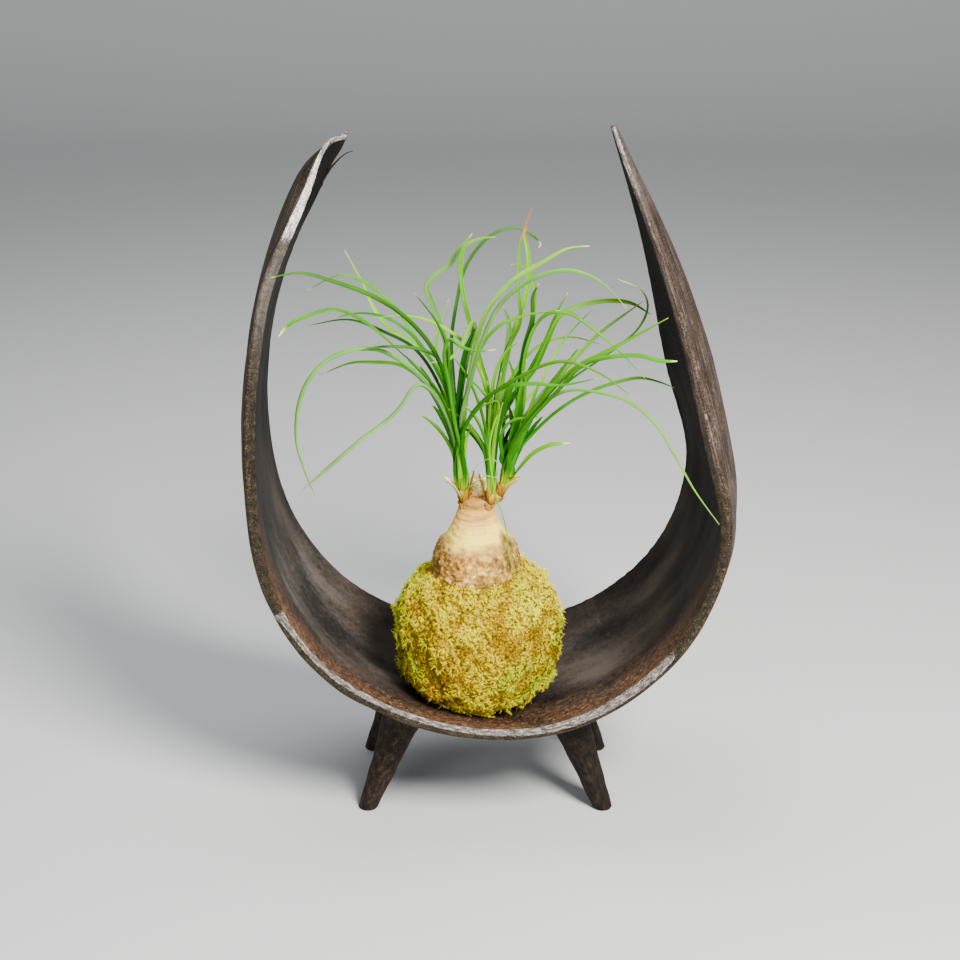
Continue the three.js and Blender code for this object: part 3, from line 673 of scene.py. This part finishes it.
def makeMoss(slab, coreMaterial, sprigMaterial):
    surface = surfaceOf(slab)
    tilt, turn = np.meshgrid((np.arange(moss["rings"]) + 0.5) * math.pi / moss["rings"],
                             turns(moss["around"]), indexing="ij")
    points, faces = skin(ballPoints(tilt, turn, -0.9))
    outward = unit(points - (ball["x"], 0, ball["z"]))
    points += outward * (moss["fuzz"] * (waves(points, 3.2, 12) + 0.7 * waves(points, 1.5, 13)))[:, None]
    addPiece("mossCore", onSlab(points, surface, 0.25), faces, coreMaterial, ["moss_wrap"], "moss")

    draw = np.random.default_rng(moss["seed"])
    roots, normal, lying, far = sprigRoots(draw)
    count = len(roots)
    length = draw.uniform(*moss["length"], (count, 1)) * (1.1 - 0.1 * far)
    rise = draw.uniform(*moss["rise"], (count, 1)) - 0.12 * far
    curl = draw.uniform(*moss["curl"], (count, 1))
    side = np.cross(lying, normal)
    spine = [roots - normal * moss["sunk"]]
    for k in range(3):
        slant = rise - curl * (k + 0.5) / 3
        spine.append(spine[-1] + (lying * np.cos(slant) + normal * np.sin(slant)) * length / 3
                     + side * draw.normal(0, moss["sway"], (count, 1)))
    spine = np.stack(spine, 1)
    corner = turns(3)
    rim = np.cos(corner)[:, None] * side[:, None] + np.sin(corner)[:, None] * normal[:, None]
    radii = np.array([1, 0.95, 0.8, 0.3]) * moss["stem"]
    stems = spine[:, :, None] + rim[:, None] * radii[None, :, None, None]
    # painted shade: each sprig is darker at its foot and lighter towards its tips
    blocks, light = [stems.reshape(count, 12, 3)], [np.repeat([0.25, 0.5, 0.72, 0.95], 3)]
    for place in moss["leafletsAt"]:
        k, part = int(place), place - int(place)
        base = between(spine[:, k], spine[:, k + 1], part)
        onward = unit(spine[:, k + 1] - spine[:, k])
        for way in (-1, 1):
            reach = draw.uniform(*moss["leaflet"], (count, 1)) * (1.2 - 0.2 * place)
            aim = unit(onward * draw.uniform(0.4, 1.2, (count, 1)) + way * side
                       + normal * draw.uniform(-0.2, 0.8, (count, 1)))
            wide = moss["leafletWidth"] * unit(np.cross(aim, normal))
            blocks.append(np.stack([base + wide, base + normal * moss["leafletWidth"] * 0.6, base - wide,
                                    base + aim * reach], 1))
            light.append(np.array([0.5, 0.6, 0.5, 0.95]))
    points = np.concatenate(blocks, 1)
    each = points.shape[1]
    pattern = loopFaces(4, 3)
    for a in range(12, each, 4):
        pattern += [(a, a + 1, a + 3), (a + 1, a + 2, a + 3), (a + 2, a, a + 3), (a + 2, a + 1, a)]
    flat = onSlab(points.reshape(-1, 3), surface, 0.3)
    # painted shade: sprigs between the cushions are darker, with random tone on top
    shade = 0.26 - 0.07 * np.maximum(far - 1.2, 0) + draw.normal(0, 0.12, (count, 1))
    tint = mossTint(flat, draw, np.tile(np.concatenate(light), count) + np.repeat(shade, each, 0)[:, 0])
    share = -(-count // moss["pieces"])
    for piece in range(moss["pieces"]):
        first, last = piece * share, min((piece + 1) * share, count)
        own = slice(first * each, last * each)
        faces = [tuple(k + i * each for k in face) for i in range(last - first) for face in pattern]
        addPiece("mossSprigs" + "ABCDEF"[piece], flat[own], faces, sprigMaterial, ["moss_wrap"], "moss",
                 tint=tint[own])


def mossMaterials():
    core, shader = newMaterial("mossShade", 0.95, 0.1)
    place = placeOn(shader)
    specks = noise(place, 900, 5, 0.7)
    shades = ramp(specks, {0.38: "2e2200", 0.5: "785e00", 0.62: "b89400"})
    feed(shader, "Base Color", shades)
    bumpy(shader, specks, 0.8, 0.8)
    sprig, shader = newMaterial("mossSprig", 0.8, 0.05)
    place = placeOn(shader)
    fleck = ramp(noise(place, 700, 3), {0.3: 0.7, 0.7: 1.15})
    paintTint(shader, fleck)
    return core, sprig


def soilMaterial():
    made, shader = newMaterial("darkSoil", 0.95)
    crumbs = noise(placeOn(shader), 500, 6, 0.7)
    feed(shader, "Base Color", ramp(crumbs, {0.35: "120c07", 0.55: "35271b", 0.7: "5a4530"}))
    bumpy(shader, crumbs, 0.9, 1.0)
    return made


# the swollen stem with its cut stub and the three knobs that the shoots grow from

caudex = {
    "x": -5.2, "bare": 25.5, "around": 220, "rings": 280, "lump": 0.025,
    "profile": [[9, 107], [17, 112], [22, 120], [24.2, 130], [24, 138], [22.5, 144], [20.6, 149],
                [17, 153.5], [13.6, 160], [11.2, 166], [9.4, 171], [9, 174.5], [7.6, 176.5], [0.4, 177]],
    "scars": [153.5, 156.8, 159.3, 161.2, 163.9, 165.1, 167.3, 168.8, 171.2, 173.1],
    "wart": 0.3, "roughTo": 153, "scarDepth": 0.12,
    # where the right shoulder is darker further up: turn, how wide, how far up
    "shoulder": (-0.42, 0.24, 9),
}
stub = {
    "x": -3.8, "y": 3.6, "around": 72, "rings": 90, "profile": [[168, 5.8], [173, 5.1], [185.6, 4.6]],
    # how far under the top, then the share of the top's radius
    "lid": [[0.8, 0.99], [0.45, 0.96], [0.2, 0.9], [0.05, 0.78], [0.25, 0.55], [0.35, 0.3], [0.35, 0.04]],
    "scars": [175.4, 177.6, 179.2, 181.6, 183.4, 185], "scarDepth": 0.3, "wart": 0.14, "slant": 0.09,
}
knob = {"around": 40, "rings": 26, "foot": 1.6, "swell": 0.08, "wart": 0.2, "end": [0.97, 0.88, 0.6]}
flake = {
    "count": 60, "seed": 68, "size": (0.6, 1.5), "away": (2.7, 3.4), "height": (-3, -0.3), "thick": 0.62,
}
shoots = {
    "left": {"base": (-11.6, -3.6, 175), "lean": (-0.08, -0.04, 1), "heart": (-6.5, -1, 164),
             "knob": 3.6, "girth": 2.5},
    "middle": {"base": (2.6, -6.4, 176), "lean": (0.02, -0.05, 1), "heart": (-2, -2, 165),
               "knob": 3.3, "girth": 1.5},
    "right": {"base": (7.6, 1.6, 177), "lean": (0.32, 0, 1), "heart": (-1, 1, 167),
              "knob": 3.3, "girth": 2.1},
}


def shootFrame(name):
    # where the shoot stands, the way it leans and two ways square to that
    lean = unit(np.array(shoots[name]["lean"], float))
    right = unit(np.array([1.0, 0, 0]) - lean * lean[0])
    return np.array(shoots[name]["base"], float), lean, right, np.cross(lean, right)


def addBark(name, points, faces, material, lift=0.0, cut=0.0):
    # bark colours go by height, and on the right shoulder the darker low ones reach further up
    turn, z = np.arctan2(points[:, 1], points[:, 0] - caudex["x"]), points[:, 2]
    middle, wide, upward = caudex["shoulder"]
    shoulder = np.exp(-((turn - middle) / wide) ** 2) * ease(z, 142, 150) * (1 - ease(z, 156, 164))
    addPiece(name, points, faces, material, ["caudex"], "bark",
             level=z + lift - upward * shoulder, cut=np.zeros(len(points)) + cut)


def makeCaudex(material):
    radius, z = splineAt(caudex["profile"], np.linspace(0, 1, caudex["rings"])).T
    zz, tt = np.meshgrid(z, turns(caudex["around"]), indexing="ij")
    lumps = np.sin(3 * tt + zz * 0.09) + 0.6 * np.sin(5 * tt - zz * 0.13)
    reach = np.maximum(radius, 0.3)[:, None] * (1 + caudex["lump"] * lumps)
    way = ring(tt)
    points = way * reach[..., None] + np.stack([0 * zz + caudex["x"], 0 * zz, zz], -1)
    rough = 1 - ease(zz + 3 * waves(points, 14, 61), caudex["roughTo"] - 6, caudex["roughTo"] + 2)
    warts = waves(points, 4.2, 62) + 0.8 * waves(points, 1.9, 63)
    move = caudex["wart"] * rough * warts + 0.12 * (1 - rough) * waves(points, 5, 64)
    wander = zz + 0.6 * waves(points * (1, 1, 0.2), 12, 65)
    for place in caudex["scars"]:
        move -= caudex["scarDepth"] * np.exp(-((wander - place) / 0.34) ** 2)
    points += way * (move * ease(reach, 0, 6))[..., None]
    addBark("caudexStem", *skin(points), material)

    heights, girths = np.array(stub["profile"]).T
    drop, narrowing = np.array(stub["lid"]).T
    z = np.r_[np.linspace(heights[0], heights[-1] - 1.2, stub["rings"]), heights[-1] - drop]
    radius = np.interp(z, heights, girths)
    radius[-len(drop):] = girths[-1] * narrowing
    for place in stub["scars"]:
        radius -= stub["scarDepth"] * np.exp(-((z - place) / 0.35) ** 2)
    zz, tt = np.meshgrid(z, turns(stub["around"]), indexing="ij")
    way = ring(tt)
    slant = stub["slant"] * np.cos(tt - 2.2) * radius[:, None] * ease(zz, 180, 187)
    points = way * radius[:, None, None]
    points += np.stack([0 * zz + stub["x"], 0 * zz + stub["y"], zz + slant], -1)
    points += way * (stub["wart"] * waves(points, 2.6, 66))[..., None]
    cut = np.repeat(ease(np.arange(len(z)), len(z) - 6, len(z) - 3), stub["around"])
    addBark("caudexStub", *skin(points), material, lift=6, cut=cut)

    share = np.linspace(0, 1, knob["rings"])
    for name, shoot in shoots.items():
        base, heart = np.array(shoot["base"], float), np.array(shoot["heart"], float)
        path = heart + (base - heart) * share[:, None]
        width = knob["foot"] + (shoot["knob"] - knob["foot"]) * share
        width *= 1 + knob["swell"] * np.exp(-((share - 0.8) / 0.12) ** 2)
        width[-3:] *= knob["end"]
        points, faces = tube(path, width, knob["around"])
        outward = unit(points - np.repeat(path, knob["around"], 0))
        points += outward * (knob["wart"] * waves(points, 2.4, 67))[:, None]
        addBark("caudexKnob" + name.capitalize(), points, faces, material)

    # torn bits of old leaf bases round the feet of the shoots
    draw = np.random.default_rng(flake["seed"])
    flakes = []
    for i in range(flake["count"]):
        base, lean, right, back = shootFrame(list(shoots)[i % 3])
        turn, size = draw.uniform(0, 2 * math.pi), draw.uniform(*flake["size"])
        out = right * math.cos(turn) + back * math.sin(turn)
        along = np.cross(lean, out) * size
        root = base + out * draw.uniform(*flake["away"]) + lean * draw.uniform(*flake["height"])
        tip = root + (lean * draw.uniform(0.5, 1) + out * draw.uniform(0, 0.5)) * size
        corners = np.array([root - along * 0.6, root + along * 0.6, tip + along * 0.25, tip])
        inner = corners - out * 0.5
        flakes.append(skin(np.stack([inner, inner + out * flake["thick"]])))
    points, faces = merge(flakes)
    addBark("caudexFlakes", points, faces, material, lift=-1)


def barkMaterial():
    made, shader = newMaterial("caudexBark", 0.7, 0.3)
    place = placeOn(shader)
    drift = noise(place, 110, 4, 0.6)
    level = blend((mark(shader, "level"), 1.0), (drift, 11.0))
    level = put("MapRange", {"Value": level, "From Min": 115.5, "From Max": 195.5})
    base = ramp(level, {
        0.0: "6a5424", 0.3: "9c7838", 0.5: "d0a258", 0.56: "ffe65e", 0.62: "ffde58",
        0.68: "efc064", 0.76: "dca84e", 0.81: "946a30", 0.86: "e0b458", 0.92: "ffe896",
    })
    mottle = noise(place, 420, 8, 0.75)
    broad = noise(place, 65, 4, 0.55)
    rough = ramp(level, {0.46: 1.0, 0.56: 0.0})
    patchy = noise(place, (190, 190, 104.5), 5, 0.6)
    spots = ramp(blend((mottle, 0.45), (patchy, 0.55)),
                 {0.41: "4c3a16", 0.47: "8a6a2c", 0.53: "c49c50", 0.6: "f4dc84"})
    tint = ramp(broad, {0.41: "8a8040", 0.47: "d4ca90", 0.53: "fff8dc", 0.6: "ffe6bc"})
    spots = mixed(0.9, spots, tint, "MULTIPLY")
    colour = mixed(times(rough, 0.9), base, spots)
    lines = noise(place, (24.5, 24.5, 560), 6, 0.6)
    shade = ramp(lines, {0.38: "ae7e48", 0.5: "ffffff"})
    ringed = times(ramp(level, {0.6: 0.1, 0.68: 0.8}), 0.75)
    colour = mixed(ringed, colour, shade, "MULTIPLY")
    fine = ramp(mottle, {0.38: 0.88, 0.58: 1.06})
    colour = mixed(1.0, colour, fine, "MULTIPLY")
    colour = mixed(times(mark(shader, "cut"), 0.7), colour, "f6d898")
    feed(shader, "Base Color", colour)
    bumpy(shader, blend((mottle, 1.0), (lines, 0.8)), 0.7, 0.5)
    return made


# the shoots: strap leaves and dry husks round their feet

# width, how far the tip lies behind the shoot, then x and z of each stop that the blade passes
leafRows = {
    "left": [
        [2.7, -32, -17, 212, -22, 232, -32, 247, -44, 260, -57, 267, -70, 267, -82, 262, -92, 251,
         -97, 237, -98, 221, -95, 208, -89, 192],
        [2.5, -48, -18, 219, -23, 235, -29, 246, -34, 250, -38, 248, -43, 241, -49, 235, -64, 225,
         -94, 202],
        [2.4, 38, -18, 210, -26, 227, -35, 239, -46, 245, -60, 245, -73, 243, -90, 234],
        [2.6, -38, -17, 219, -24, 241, -35, 257, -49, 273, -62, 286, -76, 293, -88, 291, -98, 287,
         -104, 281],
        [2.9, -58, -16, 220, -20, 249, -27, 271, -40, 290, -55, 303, -74, 313, -90, 319, -104, 318],
        [2.4, 26, -16, 217, -24, 244, -35, 260, -45, 276, -56, 287, -66, 293, -77, 295, -96, 285],
        [2.4, 52, -17, 215, -26, 243, -39, 256, -52, 262, -60, 271, -67, 285, -76, 300],
        [2.2, 12, -16, 221, -26, 248, -37, 265, -50, 275, -65, 278, -80, 275],
        [2.2, 60, -17, 213, -25, 234, -38, 251, -55, 258, -74, 262, -98, 255],
        [2.2, -20, -16, 221, -20, 242, -26, 262, -35, 267, -47, 269, -57, 269, -67, 267],
        [3.4, 18, -16, 215, -18, 237, -20, 257, -23, 269, -28, 283, -31, 292, -27, 297, -20, 302, -14, 310,
         -7, 319],
        [2.4, 35, -15, 214, -17, 241, -18, 262, -15, 282, -11, 298, -3, 310, 7, 317, 17, 318, 24, 314,
         29, 309, 28, 306],
        [4.2, -14, -15, 218, -13, 245, -10, 265, -5, 280],
        [2.2, 62, -17, 212, -22, 230, -27, 246, -25, 259, -20, 270],
        [2.2, -30, -16, 226, -19, 250, -20, 271, -25, 285, -36, 302],
        [3, -34, -13, 219, -9, 246, -5, 270, 1, 290, 13, 306, 29, 318, 40, 325, 51, 327],
        [2.6, -50, -13, 223, -8, 249, -2, 274, 7, 295, 22, 310, 36, 316, 46, 316, 56, 312, 69, 300],
        [2.8, -40, -13, 214, -8, 229, -1, 240, 9, 249, 23, 253, 38, 254, 56, 260],
        [2.2, -54, -12, 218, -6, 233, 5, 247, 18, 258, 30, 266, 39, 269, 48, 268, 59, 264, 73, 255],
        [2.2, -22, -14, 221, -9, 245, -2, 268, 7, 280, 22, 287, 38, 290],
        [1.25, -34, -13, 214, -7, 227, -1, 234, 6, 237, 7, 233, 4, 224, 2, 213, 3, 201, 5, 189, 10, 174,
         13, 154, 20, 132],
        [2.2, -45, -16, 225, -19, 251, -21, 271, -18, 279, -12, 276, -4, 275, 5, 277],
        [3.2, -18, -15, 218, -12.5, 244, -9, 264, -6, 277, -6.5, 280.5, -9, 277, -13, 268, -19, 262,
         -29, 260.5],  # broad, and folded over at its top
    ],
    "middle": [
        [3.2, 20, 3, 216, 7, 240, 12, 262, 18, 277, 22, 293, 22, 309, 20, 321, 24, 333],
        [2.2, 8, 4, 217, 8, 245, 12, 262, 18, 276, 17, 293, 17, 309, 18, 319, 21, 326],
        [4.2, 8, 3, 219, 8, 236, 9, 247, 12, 263, 12, 275, 9, 284],
        [2.8, 14, 2, 217, 2, 236, -3, 255, -8, 273, -12, 291, -13, 306, -11, 314, -4, 318, 5, 319],
        [2.2, -4, 1, 218, 0, 241, -6, 259, -12, 268, -21, 275, -31, 280, -43, 282, -59, 281],
        [2.4, 48, 4, 216, 13, 236, 22, 255, 26, 275, 26, 285, 23, 292, 18, 295, 13, 294],
        [2.6, 34, 5, 214, 14, 229, 24, 245, 32, 259, 38, 273, 44, 283],
        [2.4, 56, 6, 213, 16, 221, 28, 231, 36, 243, 44, 254, 58, 266],
        [3.4, 30, 5, 218, 15, 234, 26, 247, 33, 262, 39, 274, 49, 279, 63, 281, 77, 279, 88, 272],
        [2.2, 66, 5, 217, 12, 233, 23, 246, 32, 251, 47, 251, 64, 243],
        [2.2, -4, 2, 218, 1, 236, -3, 242, -11, 250],
        [2.2, -10, 2, 219, 3, 239, 6, 255, 11, 265, 18, 271],
    ],
    "right": [
        [3.6, -20, 9, 198, 14, 211, 18, 227, 18, 243, 20, 264, 24, 282, 24, 295, 27, 302],
        [4, 16, 14, 205, 21, 219, 29, 230, 38, 241, 48, 252, 61, 265, 83, 281],
        [3.2, -58, 14, 207, 22, 226, 33, 245, 45, 261, 60, 273, 74, 284, 89, 296],
        [2.4, 40, 14, 204, 24, 218, 40, 234, 60, 244, 81, 253],
        [2.8, -62, 14, 206, 23, 226, 36, 246, 50, 266, 62, 272, 76, 275, 86, 274, 94, 275],
        [2.6, -34, 13, 207, 16, 226, 19, 247, 21, 265, 26, 280, 33, 287, 43, 287, 53, 281, 67, 270,
         81, 256],
        [2.2, -10, 15, 200, 24, 212, 37, 226, 52, 237, 68, 244, 81, 247, 91, 245, 99, 242],
        [2, -69, 15, 204, 22, 223, 32, 239, 43, 247, 58, 248, 73, 245, 86, 236, 96, 221, 106, 205,
         118, 190],
        [3, -8, 14, 187, 19, 194, 25, 202, 34, 208, 45, 210],
        [2.2, -16, 8, 211, 11, 221, 18, 226, 27, 226],
        [1.5, -16, 14, 206, 26, 226, 44, 245, 65, 262, 79, 276, 83, 288, 79, 297, 67, 303],
        [2.2, 20, 11, 206, 16, 213, 23, 216, 30, 214],
        [2.2, 30, 9, 203, 11, 220, 14, 232, 18, 237, 12, 239],
    ],
}
leafLook = {
    "greens": ["0e4a00", "1a6600", "348200", "70a800"],
    # a painted sky reflection up the blade, a painted sheen, and the blade's own yellow-green foot
    "skyGlare": "96c41c", "sheenGreen": "6e9c4c", "base": "a4c000",
    "thick": 0.34, "channel": 0.3, "sides": 6, "stepLength": 2.0, "facing": (0.5, 0.85), "slim": 0.84,
    # heights in the shoot of a blade's foot and of where it comes out
    "foot": 0.6, "out": 15,
    # the next four go by tuft and by the leaf's place in its list
    # leaves that keep their width to a blunt end
    "blunt": {"left": {1: 9, 3: 5, 10: 5}, "middle": {8: 4}, "right": {4: 5, 8: 4}}, "usualBlunt": 2.4,
    # the colour of the dry tip and how long that is
    "tips": {
        "left": {2: ("eaa98a", 6), 3: ("f0f87c", 8), 5: ("e8dc74", 6), 6: ("e3cf5a", 5), 11: ("f3dcc4", 6),
                 15: ("c7d37a", 5), 21: ("e6d36a", 6)},
        "middle": {0: ("8c6038", 24), 1: ("c87838", 9)},
        "right": {4: ("d8dc78", 4), 8: ("c9cf6a", 5), 9: ("f4cdb0", 6), 10: ("b8d850", 24)},
    },
    "usualTip": ("b9b24a", 3),
    # how light a green the leaf is, from 0 to 3: its own green, with painted shade on leaves in shadow and
    # painted light on lit ones
    "tones": {"left": {3: 1.8, 4: 0.25, 12: 0.6, 17: 2.0}, "middle": {0: 2.4, 8: 1.0},
              "right": {0: 0.5, 4: 1.6, 6: 1.3, 8: 2.3, 10: 0.5}},
    # how much painted sheen, a greyer green, its upper part shows
    "leafSheen": {"left": {0: 0.7, 1: 0.85, 10: 0.7, 11: 0.2, 15: 0.5, 16: 0.6, 22: 0.7},
              "middle": {2: 0.7, 7: 0.4}, "right": {1: 0.6, 7: 0.6}},
}
# short inner leaves: how many, and how far they rise and arch out
fillers = {
    "left": 9, "middle": 10, "right": 8, "seed": 11, "width": (2, 3.2), "rise": (34, 84), "arch": (5, 24),
}


def leafFoot(name, away, girth):
    base, lean, *_ = shootFrame(name)
    return [base + lean * leafLook["foot"] + away * (0.3 * girth),
            base + lean * leafLook["out"] + away * girth]


def leafPath(name, order, reach, stops):
    start = leafFoot(name, ring(np.radians(137.5 * order)), shoots[name]["girth"])
    stops = np.array(stops, float).reshape(-1, 2)
    before = np.vstack([start[1][[0, 2]], stops[:-1]])
    lengths = np.cumsum(np.linalg.norm(stops - before, axis=1))
    y = shoots[name]["base"][1] + reach * lengths / lengths[-1]
    return np.vstack([start, np.stack([stops[:, 0], y, stops[:, 1]], 1)])


def fillerPath(name, draw):
    base, lean, *_ = shootFrame(name)
    away = ring(draw.uniform(0, 2 * math.pi)) * (1, 0.8, 1)
    rise, out = draw.uniform(*fillers["rise"]), draw.uniform(*fillers["arch"])
    girth = 0.8 * shoots[name]["girth"]
    share = np.linspace(0.3, 1, 6)[:, None]
    upward = leafLook["out"] + rise * (share - 0.12 * share ** 3)
    arch = base + lean * upward + away * (girth + out * share ** 2)
    return np.vstack([leafFoot(name, away, girth), arch])


def bladeSides(ways, heading, facing):
    # the way across the blade at each point: partly level, partly turned to the front
    level = np.array([-heading[1], heading[0], 0])
    side, turned = None, []
    for way in ways:
        flat, front = unit(level - way * (level @ way)), unit(np.cross(way, toCamera))
        goal = unit(between(flat, front if flat @ front > 0 else -front, facing))
        if side is None:
            side = goal
        goal = goal if goal @ side > 0 else -goal
        side = between(side, goal, 0.2)
        side = unit(side - way * (side @ way))
        turned.append(side)
    return np.array(turned)


def bladeMesh(points, width, look):
    rough = splineAt(points, np.linspace(0, 1, 80), centripetal=True)
    length = np.linalg.norm(np.diff(rough, axis=0), axis=1).sum()
    t = np.linspace(0, 1, max(24, int(length / leafLook["stepLength"])))
    middle = splineAt(points, t, centripetal=True)
    ways = unit(np.gradient(middle, axis=0))
    sides = bladeSides(ways, unit((points[-1] - points[0]) * (1, 1, 0)), look["facing"])
    up = np.cross(ways, sides)
    length = np.r_[0, np.cumsum(np.linalg.norm(np.diff(middle, axis=0), axis=1))]
    half = leafLook["slim"] * width / 2 * (0.5 + 0.75 * ease(length, 0, 14) - 0.25 * ease(length, 14, 45))
    half = half * np.minimum(1, 0.1 + look["blunt"] * (1 - t) ** 0.75)
    across = np.linspace(-1, 1, leafLook["sides"] + 1)
    channel = leafLook["channel"] * np.outer(half, np.abs(across) ** 1.4)
    thick = leafLook["thick"] * (1 - 0.5 * np.abs(across)) * np.minimum(1, half / 0.5)[:, None]
    loopAcross = np.hstack([np.outer(half, across), np.outer(half, across[::-1])])
    loopUp = np.hstack([channel, (channel - thick)[:, ::-1]])
    body = middle[:, None] + sides[:, None] * loopAcross[..., None] + up[:, None] * loopUp[..., None]
    count = body.shape[1]
    along = np.repeat(length, count)
    strap = np.stack([along, loopAcross.ravel(), np.full(len(along), look["seed"])], 1)
    tint = np.tile(look["green"], (len(t), 1))
    tip, dry = look["tip"]
    # the pale green is a painted reflection of the sky, the glossy green a painted sheen
    for share, colour in ((0.8 * (1 - ease(length, 5, 17)), leafLook["base"]),
                          (0.8 * (look["skyGlare"] * ease(t, 0.15, 0.9)), leafLook["skyGlare"]),
                          (0.8 * (look["leafSheen"] * ease(length, 25, 55)), leafLook["sheenGreen"]),
                          (ease(length, length[-1] - dry, length[-1] - dry * 0.3), tip)):
        tint = between(tint, linear(colour), share[:, None])
    return skin(body), strap, np.repeat(tint, count, 0)


def makeTufts(material):
    draw = np.random.default_rng(fillers["seed"])
    greens = np.array([linear(code) for code in leafLook["greens"]])
    for name, rows in leafRows.items():
        leaves = [(width, leafPath(name, order, reach, stops))
                  for order, (width, reach, *stops) in enumerate(rows)]
        leaves += [(draw.uniform(*fillers["width"]), fillerPath(name, draw)) for _ in range(fillers[name])]
        parts, straps, tints = [], [], []
        for order, (width, path) in enumerate(leaves):
            own = lambda key, usual: leafLook[key][name].get(order, usual)
            tone = own("tones", draw.uniform(0, 2.999))
            blade, strap, tint = bladeMesh(path, width, {
                "seed": order * 7.3, "green": between(greens[int(tone)], greens[int(tone) + 1], tone % 1),
                "tip": own("tips", leafLook["usualTip"]), "skyGlare": draw.uniform(0, 0.4) * min(tone, 1),
                "leafSheen": own("leafSheen", 0), "facing": draw.uniform(*leafLook["facing"]),
                "blunt": own("blunt", leafLook["usualBlunt"]),
            })
            parts.append(blade)
            straps.append(strap)
            tints.append(tint)
        points, faces = merge(parts)
        addPiece("leafTuft" + name.capitalize(), points, faces, material, ["leaf_tuft_" + name], "leaf",
                 strap=np.vstack(straps), tint=np.vstack(tints))


def leafMaterial():
    made, shader = newMaterial("strapLeaf", 0.48, 0.12)
    strap = mark(shader, "strap", vector=True)
    veins = noise(strap, (0.03, 3.2, 1.0), 3, 0.5)
    cloud = noise(strap, (0.06, 0.4, 1.0), 3, 0.5)
    tone = ramp(blend((veins, 0.5), (cloud, 0.5)), {0.38: 0.72, 0.6: 1.2})
    paintTint(shader, tone)
    bumpy(shader, veins, 0.35, 0.2)
    return made


# dry scales round each shoot: turn, height, width and how far the tip leans out, then the tip's colour
husks = {
    "left": [[192, 16, 3.6, 5.6, "f6e4b4"], [250, 9, 5.2, 0.5, "b89a1c"], [318, 10, 4.6, 0.7, "bc8608"],
             [30, 8, 6, 1, "ae8428"], [110, 8, 6, 0.8, "9c7420"], [350, 18, 2, 2.2, "7c5604"]],
    "middle": [[238, 10, 3.8, 0.6, "a88c14"], [300, 7, 4.4, 0.4, "c8a828"], [20, 8, 4, 0.8, "ae8420"],
               [110, 8, 5, 0.8, "9c7420"], [178, 17, 1.6, 2.4, "624804"]],
    "right": [[262, 8, 4.8, 0.6, "c49610"], [330, 15, 4.6, 4.6, "ccb434"], [30, 12, 4, 2, "bc8c28"],
              [95, 8, 6, 0.8, "9c7420"], [200, 9, 5, 0.8, "ae8420"]],
}
huskLook = {
    "radius": 2.0, "flare": 0.1, "thick": 0.26, "rows": 16, "columns": 8, "foot": "7a4a00", "sunk": 0.9,
    "thread": "86b43c", "threadGirths": (0.32, 0.16),
}
loopThread = [[-8.3, -13, 187.5], [-3, -16, 193.4], [0.7, -17, 195.5], [4.9, -17, 194.9], [7, -17, 200.1],
              [5.4, -17, 204.1], [1.8, -16, 204.8], [-3, -15, 202.1], [-7.3, -13, 196.1]]


def makeHusks(material, leafy):
    for name, rows in husks.items():
        base, lean, right, back = shootFrame(name)
        parts, tints, fibres = [], [], []
        for order, (angle, height, width, out, tip) in enumerate(rows):
            up = np.linspace(0, 1, huskLook["rows"])[:, None]
            across = np.linspace(-1, 1, huskLook["columns"] + 1)[None]
            narrowing = np.maximum(1 - up ** 2.4, 0.03) ** 0.7
            reach = huskLook["radius"] + huskLook["flare"] * height * up + 0.18 * order + out * up ** 2.2
            turn = np.radians(angle) + across * narrowing * width / 2 / huskLook["radius"]
            turn = turn + 0.12 * np.sin(9 * up + order) * up
            rise = height * up * (1 - 0.08 * np.cos(3 * across + order)) - huskLook["sunk"]
            skins = []
            for inset in (0, huskLook["thick"]):
                far = (reach - inset)[..., None]
                skins.append(base + lean * rise[..., None] + far * (right * np.cos(turn)[..., None]
                                                                    + back * np.sin(turn)[..., None]))
            points = np.concatenate([skins[0], skins[1][:, ::-1]], 1)
            points += 0.12 * waves(points, 2.2, 71 + order)[..., None] * lean
            parts.append(skin(points))
            share = np.repeat(ease(up[:, 0], 0.05, 0.8), points.shape[1])[:, None]
            tints.append(between(linear(huskLook["foot"]), linear(tip), share))
            wide = np.concatenate([across, across[:, ::-1]], 1) * width
            fibres.append(np.stack([(up * height + 0 * wide).ravel(), (wide + 0 * up).ravel(),
                                    np.full(wide.size * len(up), order * 3.7)], 1))
        points, faces = merge(parts)
        addPiece("drySheath" + name.capitalize(), points, faces, material, ["dry_sheath_" + name], "husk",
                 strap=np.vstack(fibres), tint=np.vstack(tints))

    # a thread torn from a leaf, in a loop
    path = splineAt(loopThread, np.linspace(0, 1, 90), centripetal=True)
    points, faces = tube(path, np.linspace(*huskLook["threadGirths"], 90))
    addPiece("leafThread", points, faces, leafy, ["leaf_tuft_middle"], "leaf",
             strap=points, tint=np.tile(linear(huskLook["thread"]), (len(points), 1)))


def huskMaterial():
    made, shader = newMaterial("dryHusk", 0.75, 0.25)
    strap = mark(shader, "strap", vector=True)
    fibres = noise(strap, (0.15, 3.0, 1.0), 5, 0.6)
    tone = ramp(fibres, {0.34: 0.5, 0.5: 0.95, 0.66: 1.3})
    paintTint(shader, tone)
    bumpy(shader, fibres, 0.6, 0.3)
    return made


makeCamera()
makeLights()
makeFloor()
print("camera, light and floor are set")

slab = makeSlab(stonewareMaterial())
makeFeet(slab, footMaterial())
print("stand is made")

makeMoss(slab, *mossMaterials())
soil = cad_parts["soil_ball"]
soil.data.materials.clear()
soil.data.materials.append(soilMaterial())
print("moss is made")

makeCaudex(barkMaterial())
print("caudex is made")

leafy = leafMaterial()
makeTufts(leafy)
makeHusks(huskMaterial(), leafy)
print("leaves and husks are made")
